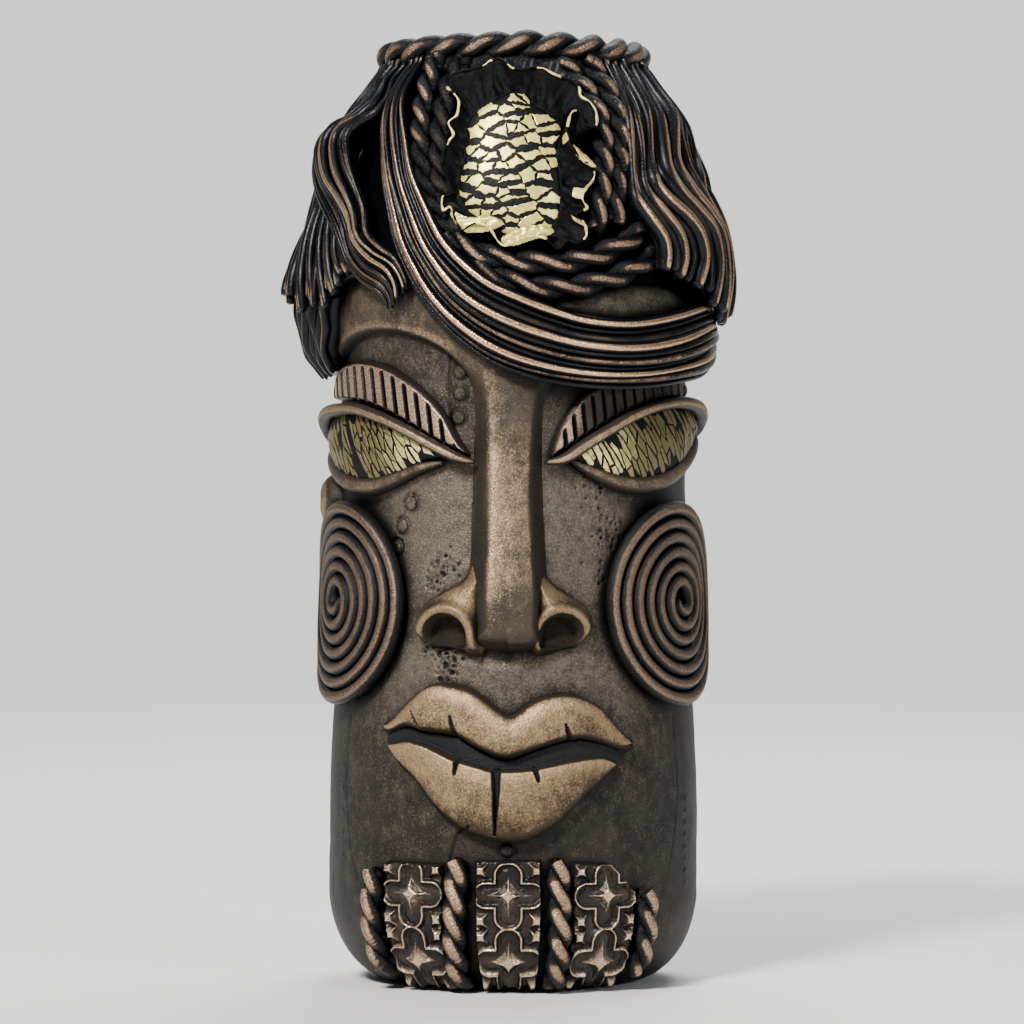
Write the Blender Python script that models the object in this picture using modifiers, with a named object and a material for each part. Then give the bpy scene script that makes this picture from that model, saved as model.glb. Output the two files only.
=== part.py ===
"""Tall face mug: a jar covered with a clay skin, on which every feature is a clay piece laid on the
skin.

The frame stands on the underside of the base, with the jar's axis along +Z and the face looking
along -Y. A place on the skin is (azimuth, level): the azimuth in degrees from the middle of the face,
positive towards +X, and the level in millimetres above the floor. A lift is the distance in
millimetres outwards from the skin.
"""

import math

import bmesh
import bpy
import numpy as np
from mathutils import Vector

# Everything below is in millimetres and degrees, and becomes metres at the last step.
MM = 0.001

# Driving dimensions.
BODY_R = 40.0
FOOT_R = 25.5
FOOT_ROUND = 20.0
WALL = 3.0
GLASS_WALL = 2.7
GAP = 0.3
NECK_TOP = 195.8
NECK_R = 26.3
MOUTH_R = 20.5
FLOOR_T = 3.0
RIM_R = 26.9
RIM_LEVEL = 199.25

# The skin's outline: levels on the rounded foot, then (level, outer radius) above it.
FOOT_LEVELS = (0.0, 1.2, 4.0, 9.0)
SKIN_ABOVE_FOOT = [
    (20.0, 40.0), (44.0, 40.0), (64.0, 38.8), (106.0, 37.4), (132.0, 37.4), (150.0, 37.9),
    (160.0, 37.4), (172.0, 35.6), (184.0, 32.3), (190.0, 29.6), (NECK_TOP, NECK_R),
]
INNER_LEVELS = (184.0, 172.0, 160.0, 106.0, 44.0, 20.0, 9.0)

SEGMENT_DEG = 7.5
SEGMENTS = int(360 / SEGMENT_DEG)
DEGREE_MM = 0.66
STRAND_SIDES = 2


def foot_radius(level):
    """Outer radius on the elliptical round of the foot."""
    down = (FOOT_ROUND - level) / FOOT_ROUND
    return FOOT_R + (BODY_R - FOOT_R) * math.sqrt(1.0 - down * down)


SKIN_OUTLINE = [(level, foot_radius(level)) for level in FOOT_LEVELS] + SKIN_ABOVE_FOOT
SKIN_LEVELS = [level for level, _radius in SKIN_OUTLINE]
SKIN_RADII = [radius for _level, radius in SKIN_OUTLINE]


def skin_radius(level):
    """Outer radius of the clay skin at a level."""
    return float(np.interp(level, SKIN_LEVELS, SKIN_RADII))


def on_skin(azimuth, level, lift):
    """World point, in metres, at a lift above the place (azimuth, level)."""
    step = 1.5
    slope = (skin_radius(level + step) - skin_radius(max(0.0, level - step))) / (
        level + step - max(0.0, level - step)
    )
    tilt = math.atan(-slope)
    radius = skin_radius(level) + lift * math.cos(tilt)
    turn = math.radians(azimuth)
    return Vector(
        (radius * math.sin(turn), -radius * math.cos(turn), level + lift * math.sin(tilt))
    ) * MM


def smooth_route(points, count):
    """Evenly spaced points on the Catmull-Rom curve through the given ones."""
    knots = np.array(points, dtype=float)
    knots = np.vstack([2 * knots[0] - knots[1], knots, 2 * knots[-1] - knots[-2]])
    fine = []
    for i in range(1, len(knots) - 2):
        a, b, c, d = knots[i - 1:i + 3]
        for t in np.linspace(0.0, 1.0, 12, endpoint=False):
            fine.append(
                0.5 * (2 * b + (c - a) * t + (2 * a - 5 * b + 4 * c - d) * t * t
                       + (3 * b - a - 3 * c + d) * t ** 3)
            )
    fine.append(knots[-2])
    fine = np.array(fine)
    run = np.concatenate([[0.0], np.cumsum(np.linalg.norm(np.diff(fine, axis=0), axis=1))])
    places = np.linspace(0.0, run[-1], count)
    return [tuple(np.interp(p, run, fine[:, k]) for k in range(fine.shape[1])) for p in places]


# Scene and materials


def start_collection():
    for old in list(bpy.data.objects):
        bpy.data.objects.remove(old, do_unlink=True)
    mug = bpy.data.collections.new("tiki_mug")
    bpy.context.scene.collection.children.link(mug)
    return mug


def principled(name, colour, roughness, metallic, transmission=0.0):
    material = bpy.data.materials.new(name)
    material.use_nodes = True
    shader = material.node_tree.nodes["Principled BSDF"]
    shader.inputs["Base Color"].default_value = (*colour, 1.0)
    shader.inputs["Roughness"].default_value = roughness
    shader.inputs["Metallic"].default_value = metallic
    shader.inputs["Transmission Weight"].default_value = transmission
    return material


MUG = start_collection()
DARK_CLAY = principled("dark_clay", (0.075, 0.062, 0.052), 0.5, 0.35)
BRONZE_CLAY = principled("bronze_clay", (0.22, 0.165, 0.11), 0.42, 0.5)
HAIR_CLAY = principled("hair_clay", (0.035, 0.026, 0.024), 0.42, 0.35)
GOLD_LEAF = principled("gold_leaf", (0.82, 0.66, 0.3), 0.3, 0.85)
JAR_GLASS = principled("jar_glass", (0.8, 0.86, 0.84), 0.08, 0.0, 0.9)


def add_object(name, data, material):
    item = bpy.data.objects.new(name, data)
    data.materials.append(material)
    MUG.objects.link(item)
    return item


# Shape makers


def turned(name, profile, material):
    """A solid of revolution from a closed profile of (radius, level) that runs down its outer side."""
    mesh = bpy.data.meshes.new(name)
    points = [(radius * MM, 0.0, level * MM) for radius, level in profile]
    edges = [(i, (i + 1) % len(points)) for i in range(len(points))]
    if profile[0][0] == 0.0 and profile[-1][0] == 0.0:
        edges = edges[:-1]
    mesh.from_pydata(points, edges, [])
    item = add_object(name, mesh, material)
    screw = item.modifiers.new("Turn", "SCREW")
    screw.angle = math.tau
    screw.steps = SEGMENTS
    screw.render_steps = SEGMENTS
    screw.use_merge_vertices = True
    screw.merge_threshold = 0.00001
    return item


def outline_mesh(name, outline, smooth):
    """A flat slab, one unit thick, of a closed outline given as (azimuth, level)."""
    curve = bpy.data.curves.new(name + "_outline", "CURVE")
    curve.dimensions = "2D"
    curve.fill_mode = "BOTH"
    curve.extrude = 0.5
    curve.resolution_u = 3
    spline = curve.splines.new("BEZIER")
    spline.bezier_points.add(len(outline) - 1)
    spline.use_cyclic_u = True
    for knot, (azimuth, level) in zip(spline.bezier_points, outline):
        knot.co = (azimuth * DEGREE_MM, level, 0.0)
        knot.handle_left_type = "AUTO" if smooth else "VECTOR"
        knot.handle_right_type = "AUTO" if smooth else "VECTOR"
    helper = bpy.data.objects.new(name + "_outline", curve)
    MUG.objects.link(helper)
    graph = bpy.context.evaluated_depsgraph_get()
    mesh = bpy.data.meshes.new_from_object(helper.evaluated_get(graph))
    bpy.data.objects.remove(helper, do_unlink=True)
    mesh.name = name
    return mesh


def cut_at(shape, axis, places):
    """Cuts the whole shape with planes across one axis, so that it can bend there."""
    values = [vert.co[axis] for vert in shape.verts]
    for where in places:
        if not min(values) < where < max(values):
            continue
        place = Vector((0.0, 0.0, 0.0))
        place[axis] = where
        normal = Vector((0.0, 0.0, 0.0))
        normal[axis] = 1.0
        everything = shape.verts[:] + shape.edges[:] + shape.faces[:]
        bmesh.ops.bisect_plane(shape, geom=everything, plane_co=place, plane_no=normal, dist=0.02)


def laid_plate(name, outline, low, high, material, smooth=True):
    """A plate laid on the skin between two lifts, where high may be a function of (azimuth, level)."""
    mesh = outline_mesh(name, outline, smooth)
    shape = bmesh.new()
    shape.from_mesh(mesh)
    bmesh.ops.remove_doubles(shape, verts=shape.verts, dist=0.05)
    bmesh.ops.dissolve_limit(
        shape, angle_limit=math.radians(1.0), verts=shape.verts, edges=shape.edges
    )
    cut_at(shape, 0, [k * SEGMENT_DEG * DEGREE_MM for k in range(-SEGMENTS // 2, SEGMENTS // 2)])
    cut_at(shape, 1, SKIN_LEVELS)
    bmesh.ops.triangulate(shape, faces=shape.faces)
    bmesh.ops.recalc_face_normals(shape, faces=shape.faces)
    for vert in shape.verts:
        azimuth = vert.co.x / DEGREE_MM
        level = vert.co.y
        top = high(azimuth, level) if callable(high) else high
        vert.co = on_skin(azimuth, level, top if vert.co.z > 0.0 else low)
    shape.to_mesh(mesh)
    shape.free()
    return add_object(name, mesh, material)


def tube(name, points, radii, material, closed=False):
    """A round strand along world points, with one radius in millimetres for each point."""
    curve = bpy.data.curves.new(name, "CURVE")
    curve.dimensions = "3D"
    curve.bevel_depth = MM
    curve.bevel_resolution = STRAND_SIDES
    curve.use_fill_caps = not closed
    spline = curve.splines.new("POLY")
    spline.points.add(len(points) - 1)
    spline.use_cyclic_u = closed
    for knot, point, radius in zip(spline.points, points, radii):
        knot.co = (*point, 1.0)
        knot.radius = radius
    return add_object(name, curve, material)


def laid_strand(name, route, radius, lift, material, count=18):
    """A strand that follows a route of (azimuth, level) at one lift of its centre."""
    points = [on_skin(azimuth, level, lift) for azimuth, level in smooth_route(route, count)]
    return tube(name, points, [radius] * count, material)


# The vessel


def make_vessel():
    jar_outer = WALL + GAP
    jar_inner = WALL + GAP + GLASS_WALL
    hole = FOOT_R - WALL - 1.0
    skin = [(radius, level) for level, radius in reversed(SKIN_OUTLINE)]
    skin += [(hole, 0.0), (hole, FLOOR_T), (skin_radius(FLOOR_T) - WALL - 1.0, FLOOR_T)]
    skin += [(skin_radius(z) - WALL, z) for z in reversed(INNER_LEVELS)]
    skin += [(NECK_R - WALL, 190.0), (NECK_R - WALL, NECK_TOP)]
    turned("clay_skin", skin, DARK_CLAY)

    jar_floor = FLOOR_T + GAP
    neck_out = NECK_R - WALL - GAP
    jar = [(neck_out, NECK_TOP), (neck_out, 189.6)]
    jar += [(skin_radius(z) - jar_outer, z) for z in INNER_LEVELS]
    jar += [(skin_radius(FLOOR_T) - jar_outer - 1.0, jar_floor), (0.0, jar_floor)]
    jar += [(0.0, jar_floor + GLASS_WALL), (skin_radius(FLOOR_T) - jar_inner, jar_floor + GLASS_WALL)]
    jar += [(skin_radius(z) - jar_inner, z) for z in reversed(INNER_LEVELS)]
    jar += [(MOUTH_R, 189.0), (MOUTH_R, NECK_TOP)]
    turned("inner_jar", jar, JAR_GLASS)

    disc_r = hole - GAP
    turned("base_disc", [(0.0, FLOOR_T), (disc_r, FLOOR_T), (disc_r, 0.0), (0.0, 0.0)], DARK_CLAY)


def make_rim_cord():
    """Two strands twisted round each other into the ring on the mouth."""
    turns = 11
    count = turns * 7
    for k, name in enumerate(("rim_strand_a", "rim_strand_b")):
        points = []
        for i in range(count):
            along = math.tau * i / count
            phase = turns * along + math.pi * k
            radius = RIM_R + 1.5 * math.cos(phase)
            level = RIM_LEVEL + 1.5 * math.sin(phase)
            points.append(
                Vector((radius * math.sin(along), -radius * math.cos(along), level)) * MM
            )
        tube(name, points, [1.34] * count, HAIR_CLAY, closed=True)


# The face


def nose_lift(azimuth, level):
    """The bridge rises out of the brow and grows towards the tip."""
    down = min(1.0, max(0.0, (124.0 - level) / 48.0))
    return 2.6 + 6.4 * down ** 1.3


def dome(middle, half, peak, edge):
    """A lift that is highest at a middle level and falls off to each side."""
    def lift(_azimuth, level):
        away = min(1.0, abs(level - middle) / half)
        return peak - (peak - edge) * away * away
    return lift


def make_brow_and_nose():
    arch = [
        (-84, 136), (-76, 142.5), (-62, 146.8), (-46, 148), (-32, 146), (-20, 142), (-2, 139.5),
        (20, 139.5), (44, 139.5), (68, 138), (72, 132), (58, 131.5), (40, 133.5), (22, 132.5),
        (12, 128.5), (8.5, 124.8), (0, 124.8), (-10.5, 124.8), (-13, 131), (-19, 136),
        (-32, 139.2), (-49, 139.5), (-63, 137.3), (-71, 132),
    ]
    laid_plate("forehead_sheet", arch, GAP, 2.3, BRONZE_CLAY, smooth=False)
    nose = [
        (-9.5, 124.2), (7.5, 124.2), (6.5, 116), (6, 104), (6.2, 91), (7.2, 79), (7, 73.4),
        (-10.5, 73.4), (-11, 79), (-10, 91), (-9, 104), (-9, 116),
    ]
    laid_plate("nose_ridge", nose, GAP, nose_lift, BRONZE_CLAY, smooth=False)
    left = [(-11.7, 87.5), (-19, 86.4), (-26, 83.5), (-29, 79.5), (-27.5, 75.2), (-20, 73.6), (-11.7, 73.2)]
    right = [(7.9, 87), (13, 85.6), (19, 82.7), (23, 79), (21.8, 75.2), (15.5, 73.6), (7.9, 73.2)]
    laid_plate("nostril_left", left, GAP, 4.6, BRONZE_CLAY, smooth=False)
    laid_plate("nostril_right", right, GAP, 4.6, BRONZE_CLAY, smooth=False)


def make_lips():
    upper = [
        (-44, 55.4), (-39, 57.2), (-32, 62), (-26, 64.8), (-19, 65.3), (-11, 64), (-6, 61.4),
        (-1, 58.9), (5, 61.4), (12, 63.3), (19, 62.8), (26, 59.6), (33, 54.8), (38, 52.2),
        (25, 53.5), (16, 53.6), (8, 52.2), (-1, 50.6), (-7, 51.2), (-13, 53.8), (-24, 55.6),
    ]
    lower = [
        (-41, 53.6), (-33, 52.4), (-27, 53.4), (-19, 51.1), (-13, 47.8), (-5, 46.9), (2, 47.4),
        (9, 48.1), (20, 49.6), (32, 50.6), (28, 45.6), (21, 41), (13, 36.8), (5, 33.6),
        (-4, 32.7), (-12, 34.7), (-19, 38.8), (-27, 44.3), (-35, 49.3),
    ]
    laid_plate("upper_lip", upper, GAP, dome(58.0, 9.0, 4.6, 2.0), BRONZE_CLAY, smooth=False)
    laid_plate("lower_lip", lower, GAP, dome(43.5, 12.0, 5.0, 1.6), BRONZE_CLAY, smooth=False)


EYE_TOP = 2.8
LID_R = 0.95
LID_LIFT = EYE_TOP + GAP + LID_R


def make_eyes():
    left = [
        (-84, 119.5), (-66, 121.8), (-48, 121.2), (-37, 119), (-26, 115.4), (-18, 112.6),
        (-26, 110.6), (-35, 109), (-45, 108.2), (-61, 108.6), (-76, 112),
    ]
    right = [
        (16, 112.6), (26, 116), (38, 119.6), (52, 122.4), (66, 123.2), (80, 120), (74, 113.5),
        (60, 109.2), (45, 108), (31, 109),
    ]
    laid_plate("eye_inlay_left", left, GAP, EYE_TOP, GOLD_LEAF, smooth=False)
    laid_plate("eye_inlay_right", right, GAP, EYE_TOP, GOLD_LEAF, smooth=False)
    lids = {
        "upper_lid_left": [(-92, 120), (-80, 122.8), (-66, 123.8), (-52, 123.6), (-40, 121.6),
                           (-29, 118), (-20, 114.8), (-12.5, 112.4)],
        "lower_lid_left": [(-88, 114.6), (-78, 110.6), (-66, 107.9), (-52, 106.7), (-40, 107.2),
                           (-29, 109), (-21, 111.3)],
        "upper_lid_right": [(9.5, 111.8), (16, 113.6), (24, 117), (34, 120.8), (46, 124),
                            (60, 125.8), (76, 125.4), (88, 122.4)],
        "lower_lid_right": [(17.5, 110.8), (25, 108.6), (35, 106.9), (48, 106.6), (62, 108.6),
                            (76, 112.2), (86, 116.2)],
    }
    for name, route in lids.items():
        laid_strand(name, route, LID_R, LID_LIFT, BRONZE_CLAY, count=14)
    fan_left = [
        (-80, 126.6), (-75, 130.4), (-63, 133.2), (-50, 133.4), (-38, 131), (-28, 127.6),
        (-20, 122.4), (-15.5, 115.8), (-29, 120.8), (-43, 124.6), (-62, 126.2),
    ]
    fan_right = [
        (12, 114.8), (14, 119), (19, 123.4), (24, 126.6), (35, 129), (53, 130), (60, 128.8),
        (45, 127), (32, 122.9), (22, 118.6),
    ]
    laid_plate("brow_fan_left", fan_left, GAP, 2.1, BRONZE_CLAY, smooth=False)
    laid_plate("brow_fan_right", fan_right, GAP, 2.1, BRONZE_CLAY, smooth=False)


COIL_PITCH = 3.05
COIL_TURNS = 6.8
COIL_LIFT = 2.75


def make_cheek_coil(name, azimuth, level, hand):
    """One long strand wound flat into a spiral disc."""
    steps = 12
    count = int(COIL_TURNS * steps)
    degree = (skin_radius(level) + COIL_LIFT) * math.radians(1.0)
    points = []
    for i in range(2, count):
        turn = math.tau * i / steps
        radius = COIL_PITCH * turn / math.tau + 0.6
        across = hand * radius * math.cos(turn)
        up = radius * math.sin(turn)
        points.append(on_skin(azimuth + across / degree, level + up, COIL_LIFT))
    tube(name, points, [1.36] * len(points), BRONZE_CLAY)


def make_cheeks():
    make_cheek_coil("cheek_coil_left", -65.5, 81.3, -1)
    make_cheek_coil("cheek_coil_right", 59.5, 81.2, 1)
    ear = [(-81, 105.5), (-85, 109), (-92, 109), (-97, 104.5), (-96, 101.5), (-88, 102.5)]
    laid_plate("ear_left", ear, GAP, 4.2, BRONZE_CLAY)
    lens = [(12, 145), (26, 147.8), (46, 148.3), (62, 147.3), (70, 146), (60, 143.6), (46, 142.6),
            (28, 142.4)]
    laid_plate("forehead_plate_right", lens, GAP, 1.8, BRONZE_CLAY)


# The chin band


CHIN_TILES = {
    "chin_tile_left": (-39.5, -22.5, 27.5, 27.5),
    "chin_tile_centre": (-10.5, 7.5, 28.3, 28.3),
    "chin_tile_right": (18.5, 36.5, 27.8, 21.5),
}
CHIN_CORDS = {
    "outer_left": (-44.8, -47, 25.0, 6.5),
    "inner_left": (-16.5, -18.5, 28.0, 4.5),
    "inner_right": (13, 14.5, 28.0, 4.5),
    "outer_right": (41.5, 44, 21.0, 6.5),
}
TILE_TOP = 2.0
TILE_FOOT = 2.6
CORD_LIFT = 2.6
CORD_WIND = 1.22
CORD_STRAND_R = 1.05
CORD_TURN_MM = 11.3


def make_chin_tiles():
    for name, (start, end, top_start, top_end) in CHIN_TILES.items():
        outline = [(start, TILE_FOOT), (end, TILE_FOOT), (end, top_end), (start, top_start)]
        if top_end < top_start:
            middle = start + 0.55 * (end - start)
            outline.insert(3, (middle, top_start))
        laid_plate(name, outline, GAP, TILE_TOP, BRONZE_CLAY, smooth=False)


def make_chin_cord(name, top_azimuth, foot_azimuth, top, foot):
    """Two strands twisted round each other, laid on the chin between tiles."""
    count = 15
    for k, side in enumerate("ab"):
        points = []
        for i in range(count):
            part = i / (count - 1)
            level = top + (foot - top) * part
            azimuth = top_azimuth + (foot_azimuth - top_azimuth) * part
            phase = math.tau * (top - level) / CORD_TURN_MM + math.pi * k
            degree = (skin_radius(level) + CORD_LIFT) * math.radians(1.0)
            across = CORD_WIND * math.sin(phase) / degree
            points.append(on_skin(azimuth + across, level, CORD_LIFT + CORD_WIND * math.cos(phase)))
        tube(f"chin_cord_{name}_{side}", points, [CORD_STRAND_R] * count, HAIR_CLAY)


# The headdress and the hair


def make_headdress():
    frill = [
        (-20, 186), (-15, 191), (-4, 193.4), (8, 192.6), (17, 188), (20.5, 180), (20.5, 168),
        (17, 158.5), (6, 156.2), (-6, 157.2), (-13, 160.5), (-19, 167), (-21, 177),
    ]
    stone = [
        (0, 189.4), (9, 187), (14, 181), (15.5, 173), (13, 164), (6, 159.4), (-2, 158.8),
        (-9, 161.5), (-14, 168), (-15, 176), (-11, 184), (-6, 188),
    ]
    laid_plate("crackle_frill", frill, GAP, 1.2, HAIR_CLAY)
    laid_plate("crackle_panel", stone, 1.5, 3.6, GOLD_LEAF)
    cords = {
        "crown_cord_right_inner": [(21, 194.3), (27, 190), (30.5, 185), (31.5, 178.4), (29, 169),
                                   (26, 162.5)],
        "crown_cord_right_outer": [(34, 194.6), (39.5, 190.5), (41.5, 185.4), (41, 178.7),
                                   (38, 172), (35, 165)],
        "crown_cord_left_inner": [(-31, 194.6), (-28, 190.5), (-27, 183.4), (-26.5, 177),
                                  (-24, 170), (-20.5, 163.5)],
        "crown_cord_left_outer": [(-38.5, 194.4), (-37, 189.4), (-35.5, 183.6), (-34, 175.4),
                                  (-30, 168), (-26.5, 162.5)],
        "crown_cord_lower_inner": [(-14, 154.6), (-4, 152.4), (8, 152.4), (19, 153.6), (30, 156.4),
                                   (41, 159.6)],
        "crown_cord_lower_outer": [(-3, 148.3), (8, 147.2), (18, 147.6), (28, 150.6), (38, 152.6),
                                   (46, 153)],
    }
    for name, route in cords.items():
        radius = 1.35 if name == "crown_cord_lower_outer" else 1.55
        lift = 3.4 if name == "crown_cord_lower_outer" else 1.9
        laid_strand(name, route, radius, lift, HAIR_CLAY, count=12)


# The two edges of the fringe, from the mouth's left side across the forehead to the right temple.
FRINGE_TOP = [
    (-44, 192), (-42, 187), (-37, 178.4), (-32, 170.8), (-26, 163), (-18, 156.4), (-9, 150.4),
    (2, 146.4), (13, 143.4), (26, 142), (44, 143), (64, 145.6), (84, 147),
]
FRINGE_LOW = [
    (-54, 192), (-52, 187.3), (-47.5, 180), (-43, 171.6), (-38, 160.4), (-30, 150), (-20, 141.3),
    (-11, 135.2), (-2, 130.8), (9, 128.3), (26, 126.7), (48, 127.6), (84, 133),
]
FRINGE_STRANDS = 6
FRINGE_LIFT = 6.4
FRINGE_DROP = 0.35
FRINGE_MAX_R = 1.05
FACE_SIDE = 46.0
FACE_SHARE = 0.6


def make_fringe():
    """Strands side by side between the fringe's two edges, thin where the edges come together."""
    count = 17
    top = smooth_route(FRINGE_TOP, count)
    low = smooth_route(FRINGE_LOW, count)
    for k in range(FRINGE_STRANDS):
        share = (k + 0.5) / FRINGE_STRANDS
        points = []
        radii = []
        for upper, lower in zip(top, low):
            azimuth = upper[0] + (lower[0] - upper[0]) * share
            level = upper[1] + (lower[1] - upper[1]) * share
            points.append(on_skin(azimuth, level, FRINGE_LIFT - FRINGE_DROP * k))
            width = math.hypot((upper[0] - lower[0]) * DEGREE_MM, upper[1] - lower[1])
            radii.append(min(FRINGE_MAX_R, 0.5 * (width / FRINGE_STRANDS - GAP) * 0.9))
        tube(f"fringe_strand_{k + 1}", points, radii, HAIR_CLAY)


def swelled(profile, full_at=None):
    """A lift read from (level, lift) pairs, lower towards the face where full_at is given."""
    levels, lifts = zip(*profile)

    def lift(azimuth, level):
        share = 1.0
        if full_at is not None:
            reach = min(1.0, max(0.0, (abs(azimuth) - FACE_SIDE) / (full_at - FACE_SIDE)))
            share = FACE_SHARE + (1.0 - FACE_SHARE) * reach
        return share * float(np.interp(level, levels, lifts))
    return lift


def make_locks():
    left = swelled([(149.5, 6.0), (160.0, 7.0), (172.0, 8.8), (184.0, 8.0), (190.0, 4.8), (194.0, 3.2)])
    tail = swelled([(149.4, 10.8), (160.0, 8.0), (172.0, 7.0)], full_at=84.0)
    lower_tail = swelled([(132.0, 4.6), (140.0, 8.4), (148.6, 9.6)])
    right = swelled([(149.6, 9.2), (160.0, 8.6), (172.0, 5.8), (184.0, 5.4), (194.0, 3.2)], full_at=72.0)
    lower_right = swelled([(131.0, 5.6), (141.0, 6.4), (148.8, 8.8)])
    back = swelled([(132.0, 5.0), (150.0, 8.4), (160.0, 8.0), (172.0, 6.4), (184.0, 6.4), (194.0, 3.2)])
    locks = {
        "lock_left": ([(-59, 194), (-57, 188), (-62, 181), (-60, 174), (-55, 168), (-52, 160),
                       (-46, 153), (-40, 149.5), (-52, 151), (-62, 158), (-70, 168), (-92, 172),
                       (-102, 182), (-100, 194)], left),
        "side_tail_left": ([(-55, 151.5), (-63, 156.5), (-71, 166.5), (-93, 170), (-112, 168),
                            (-112, 149.4), (-84, 149.4), (-66, 149.4)], tail),
        "lower_tail_left": ([(-90, 132), (-84, 145.2), (-86, 148.6), (-112, 148.6), (-112, 140),
                             (-100, 130)], lower_tail),
        "lock_right": ([(47, 194), (49, 188), (49, 180), (46, 171), (44, 165), (50, 158),
                        (54, 155.5), (50, 150), (64, 149.6), (92, 149.6), (104, 152), (104, 194)],
                       right),
        "lower_tail_right": ([(88, 131), (88, 148.8), (112, 148.8), (112, 131)], lower_right),
        "back_lock_left": ([(-103, 194), (-104, 182), (-113.5, 169), (-113.5, 140), (-140, 134),
                            (-179.5, 138), (-179.5, 194)], back),
        "back_lock_right": ([(105.5, 194), (105.5, 152), (113.5, 149), (113.5, 138), (140, 132),
                             (179.5, 138), (179.5, 194)], back),
    }
    for name, (outline, lift) in locks.items():
        laid_plate(name, outline, GAP, lift, HAIR_CLAY, smooth=False)


def main():
    make_vessel()
    make_rim_cord()
    make_brow_and_nose()
    make_lips()
    make_eyes()
    make_cheeks()
    make_chin_tiles()
    for name, (top_azimuth, foot_azimuth, top, foot) in CHIN_CORDS.items():
        make_chin_cord(name, top_azimuth, foot_azimuth, top, foot)
    make_headdress()
    make_fringe()
    make_locks()


main()
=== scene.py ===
"""The looks of the tall face mug, built on its CAD frame.

A place on the clay skin is (azimuth, level): degrees from the middle of the face, positive towards +X,
and millimetres above the floor. A lift is the distance in millimetres outwards from the skin.
"""

import math

import bpy
import numpy as np
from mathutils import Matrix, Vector, noise


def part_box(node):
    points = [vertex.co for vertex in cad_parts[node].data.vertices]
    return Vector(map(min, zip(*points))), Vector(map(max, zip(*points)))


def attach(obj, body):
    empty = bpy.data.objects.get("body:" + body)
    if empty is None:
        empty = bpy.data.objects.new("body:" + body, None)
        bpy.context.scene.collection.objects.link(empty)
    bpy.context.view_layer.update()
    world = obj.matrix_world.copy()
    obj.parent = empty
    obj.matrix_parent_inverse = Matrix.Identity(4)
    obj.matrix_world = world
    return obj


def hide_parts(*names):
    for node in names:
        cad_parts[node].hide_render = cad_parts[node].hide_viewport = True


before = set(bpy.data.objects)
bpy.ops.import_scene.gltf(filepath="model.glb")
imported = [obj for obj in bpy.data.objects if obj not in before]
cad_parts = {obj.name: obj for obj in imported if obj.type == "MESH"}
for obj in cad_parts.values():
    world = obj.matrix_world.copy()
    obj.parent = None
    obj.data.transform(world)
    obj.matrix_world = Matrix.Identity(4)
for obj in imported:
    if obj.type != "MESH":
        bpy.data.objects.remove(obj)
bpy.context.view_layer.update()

# The outline of the skin, and the size of its millimetre, which comes from the CAD skin's height.
SKIN_LOW, SKIN_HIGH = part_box("clay_skin")
NECK_TOP = 195.8
MM = (SKIN_HIGH.z - SKIN_LOW.z) / NECK_TOP
BODY_R = SKIN_HIGH.x / MM
FOOT_R = 25.5
FOOT_ROUND = 20.0
NECK_R = 26.3
WALL = 3.0
JAR_R = 20.5
RIM_R = 26.9
PROFILE = [
    (20.0, BODY_R), (44.0, BODY_R), (64.0, 38.8), (106.0, 37.4), (132.0, 37.4), (150.0, 37.9),
    (160.0, 37.4), (172.0, 35.6), (184.0, 32.3), (190.0, 29.6), (NECK_TOP, NECK_R),
]
TABLE_STEP = 0.25
DEGREE_MM = 0.67


def smoothstep(low, high, value):
    t = np.clip((value - low) / (high - low), 0.0, 1.0)
    return t * t * (3.0 - 2.0 * t)


def profile_table():
    """Level, radius and tilt of the skin's outline at every step up it."""
    level = np.arange(0.0, NECK_TOP + 0.1, TABLE_STEP)
    radius = np.interp(level, *zip(*PROFILE))
    blur, reach = 11.0, 24
    kernel = np.exp(-((np.arange(-reach, reach + 1) / blur) ** 2))
    padded = np.pad(radius, reach, mode="reflect", reflect_type="odd")
    radius = np.convolve(padded, kernel / kernel.sum(), mode="valid")
    down = np.clip((FOOT_ROUND - level) / FOOT_ROUND, 0.0, 1.0)
    foot = FOOT_R + (BODY_R - FOOT_R) * np.sqrt(1.0 - down * down)
    share = smoothstep(14.0, 26.0, level)
    radius = foot * (1.0 - share) + radius * share
    tilt = np.arctan(-np.gradient(radius, level))
    return level, radius, tilt


TABLE_LEVEL, TABLE_RADIUS, TABLE_TILT = profile_table()


def skin_radius(level):
    """The skin's plain radius at a level, in millimetres."""
    return np.interp(level, TABLE_LEVEL, TABLE_RADIUS)


def round_axis(radius, turn, level):
    """World points, in metres, at a radius from the jar's axis and a turn, in radians, from the face."""
    radius, turn, level = np.broadcast_arrays(radius, turn, level)
    return np.stack([radius * np.sin(turn), -radius * np.cos(turn), level], axis=-1) * MM


def on_skin(azimuth, level, lift):
    """World points, in metres, at a lift above places on the skin."""
    tilt = np.interp(level, TABLE_LEVEL, TABLE_TILT)
    radius = skin_radius(level) + lift * np.cos(tilt)
    return round_axis(radius, np.radians(azimuth), level + lift * np.sin(tilt))


def outward(azimuth, level):
    """Unit vectors pointing out of the skin."""
    azimuth, level = np.broadcast_arrays(azimuth, level)
    tilt = np.interp(level, TABLE_LEVEL, TABLE_TILT)
    turn = np.radians(azimuth)
    flat = np.cos(tilt)
    return np.stack([flat * np.sin(turn), -flat * np.cos(turn), np.sin(tilt)], axis=-1)


# Curves


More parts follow.
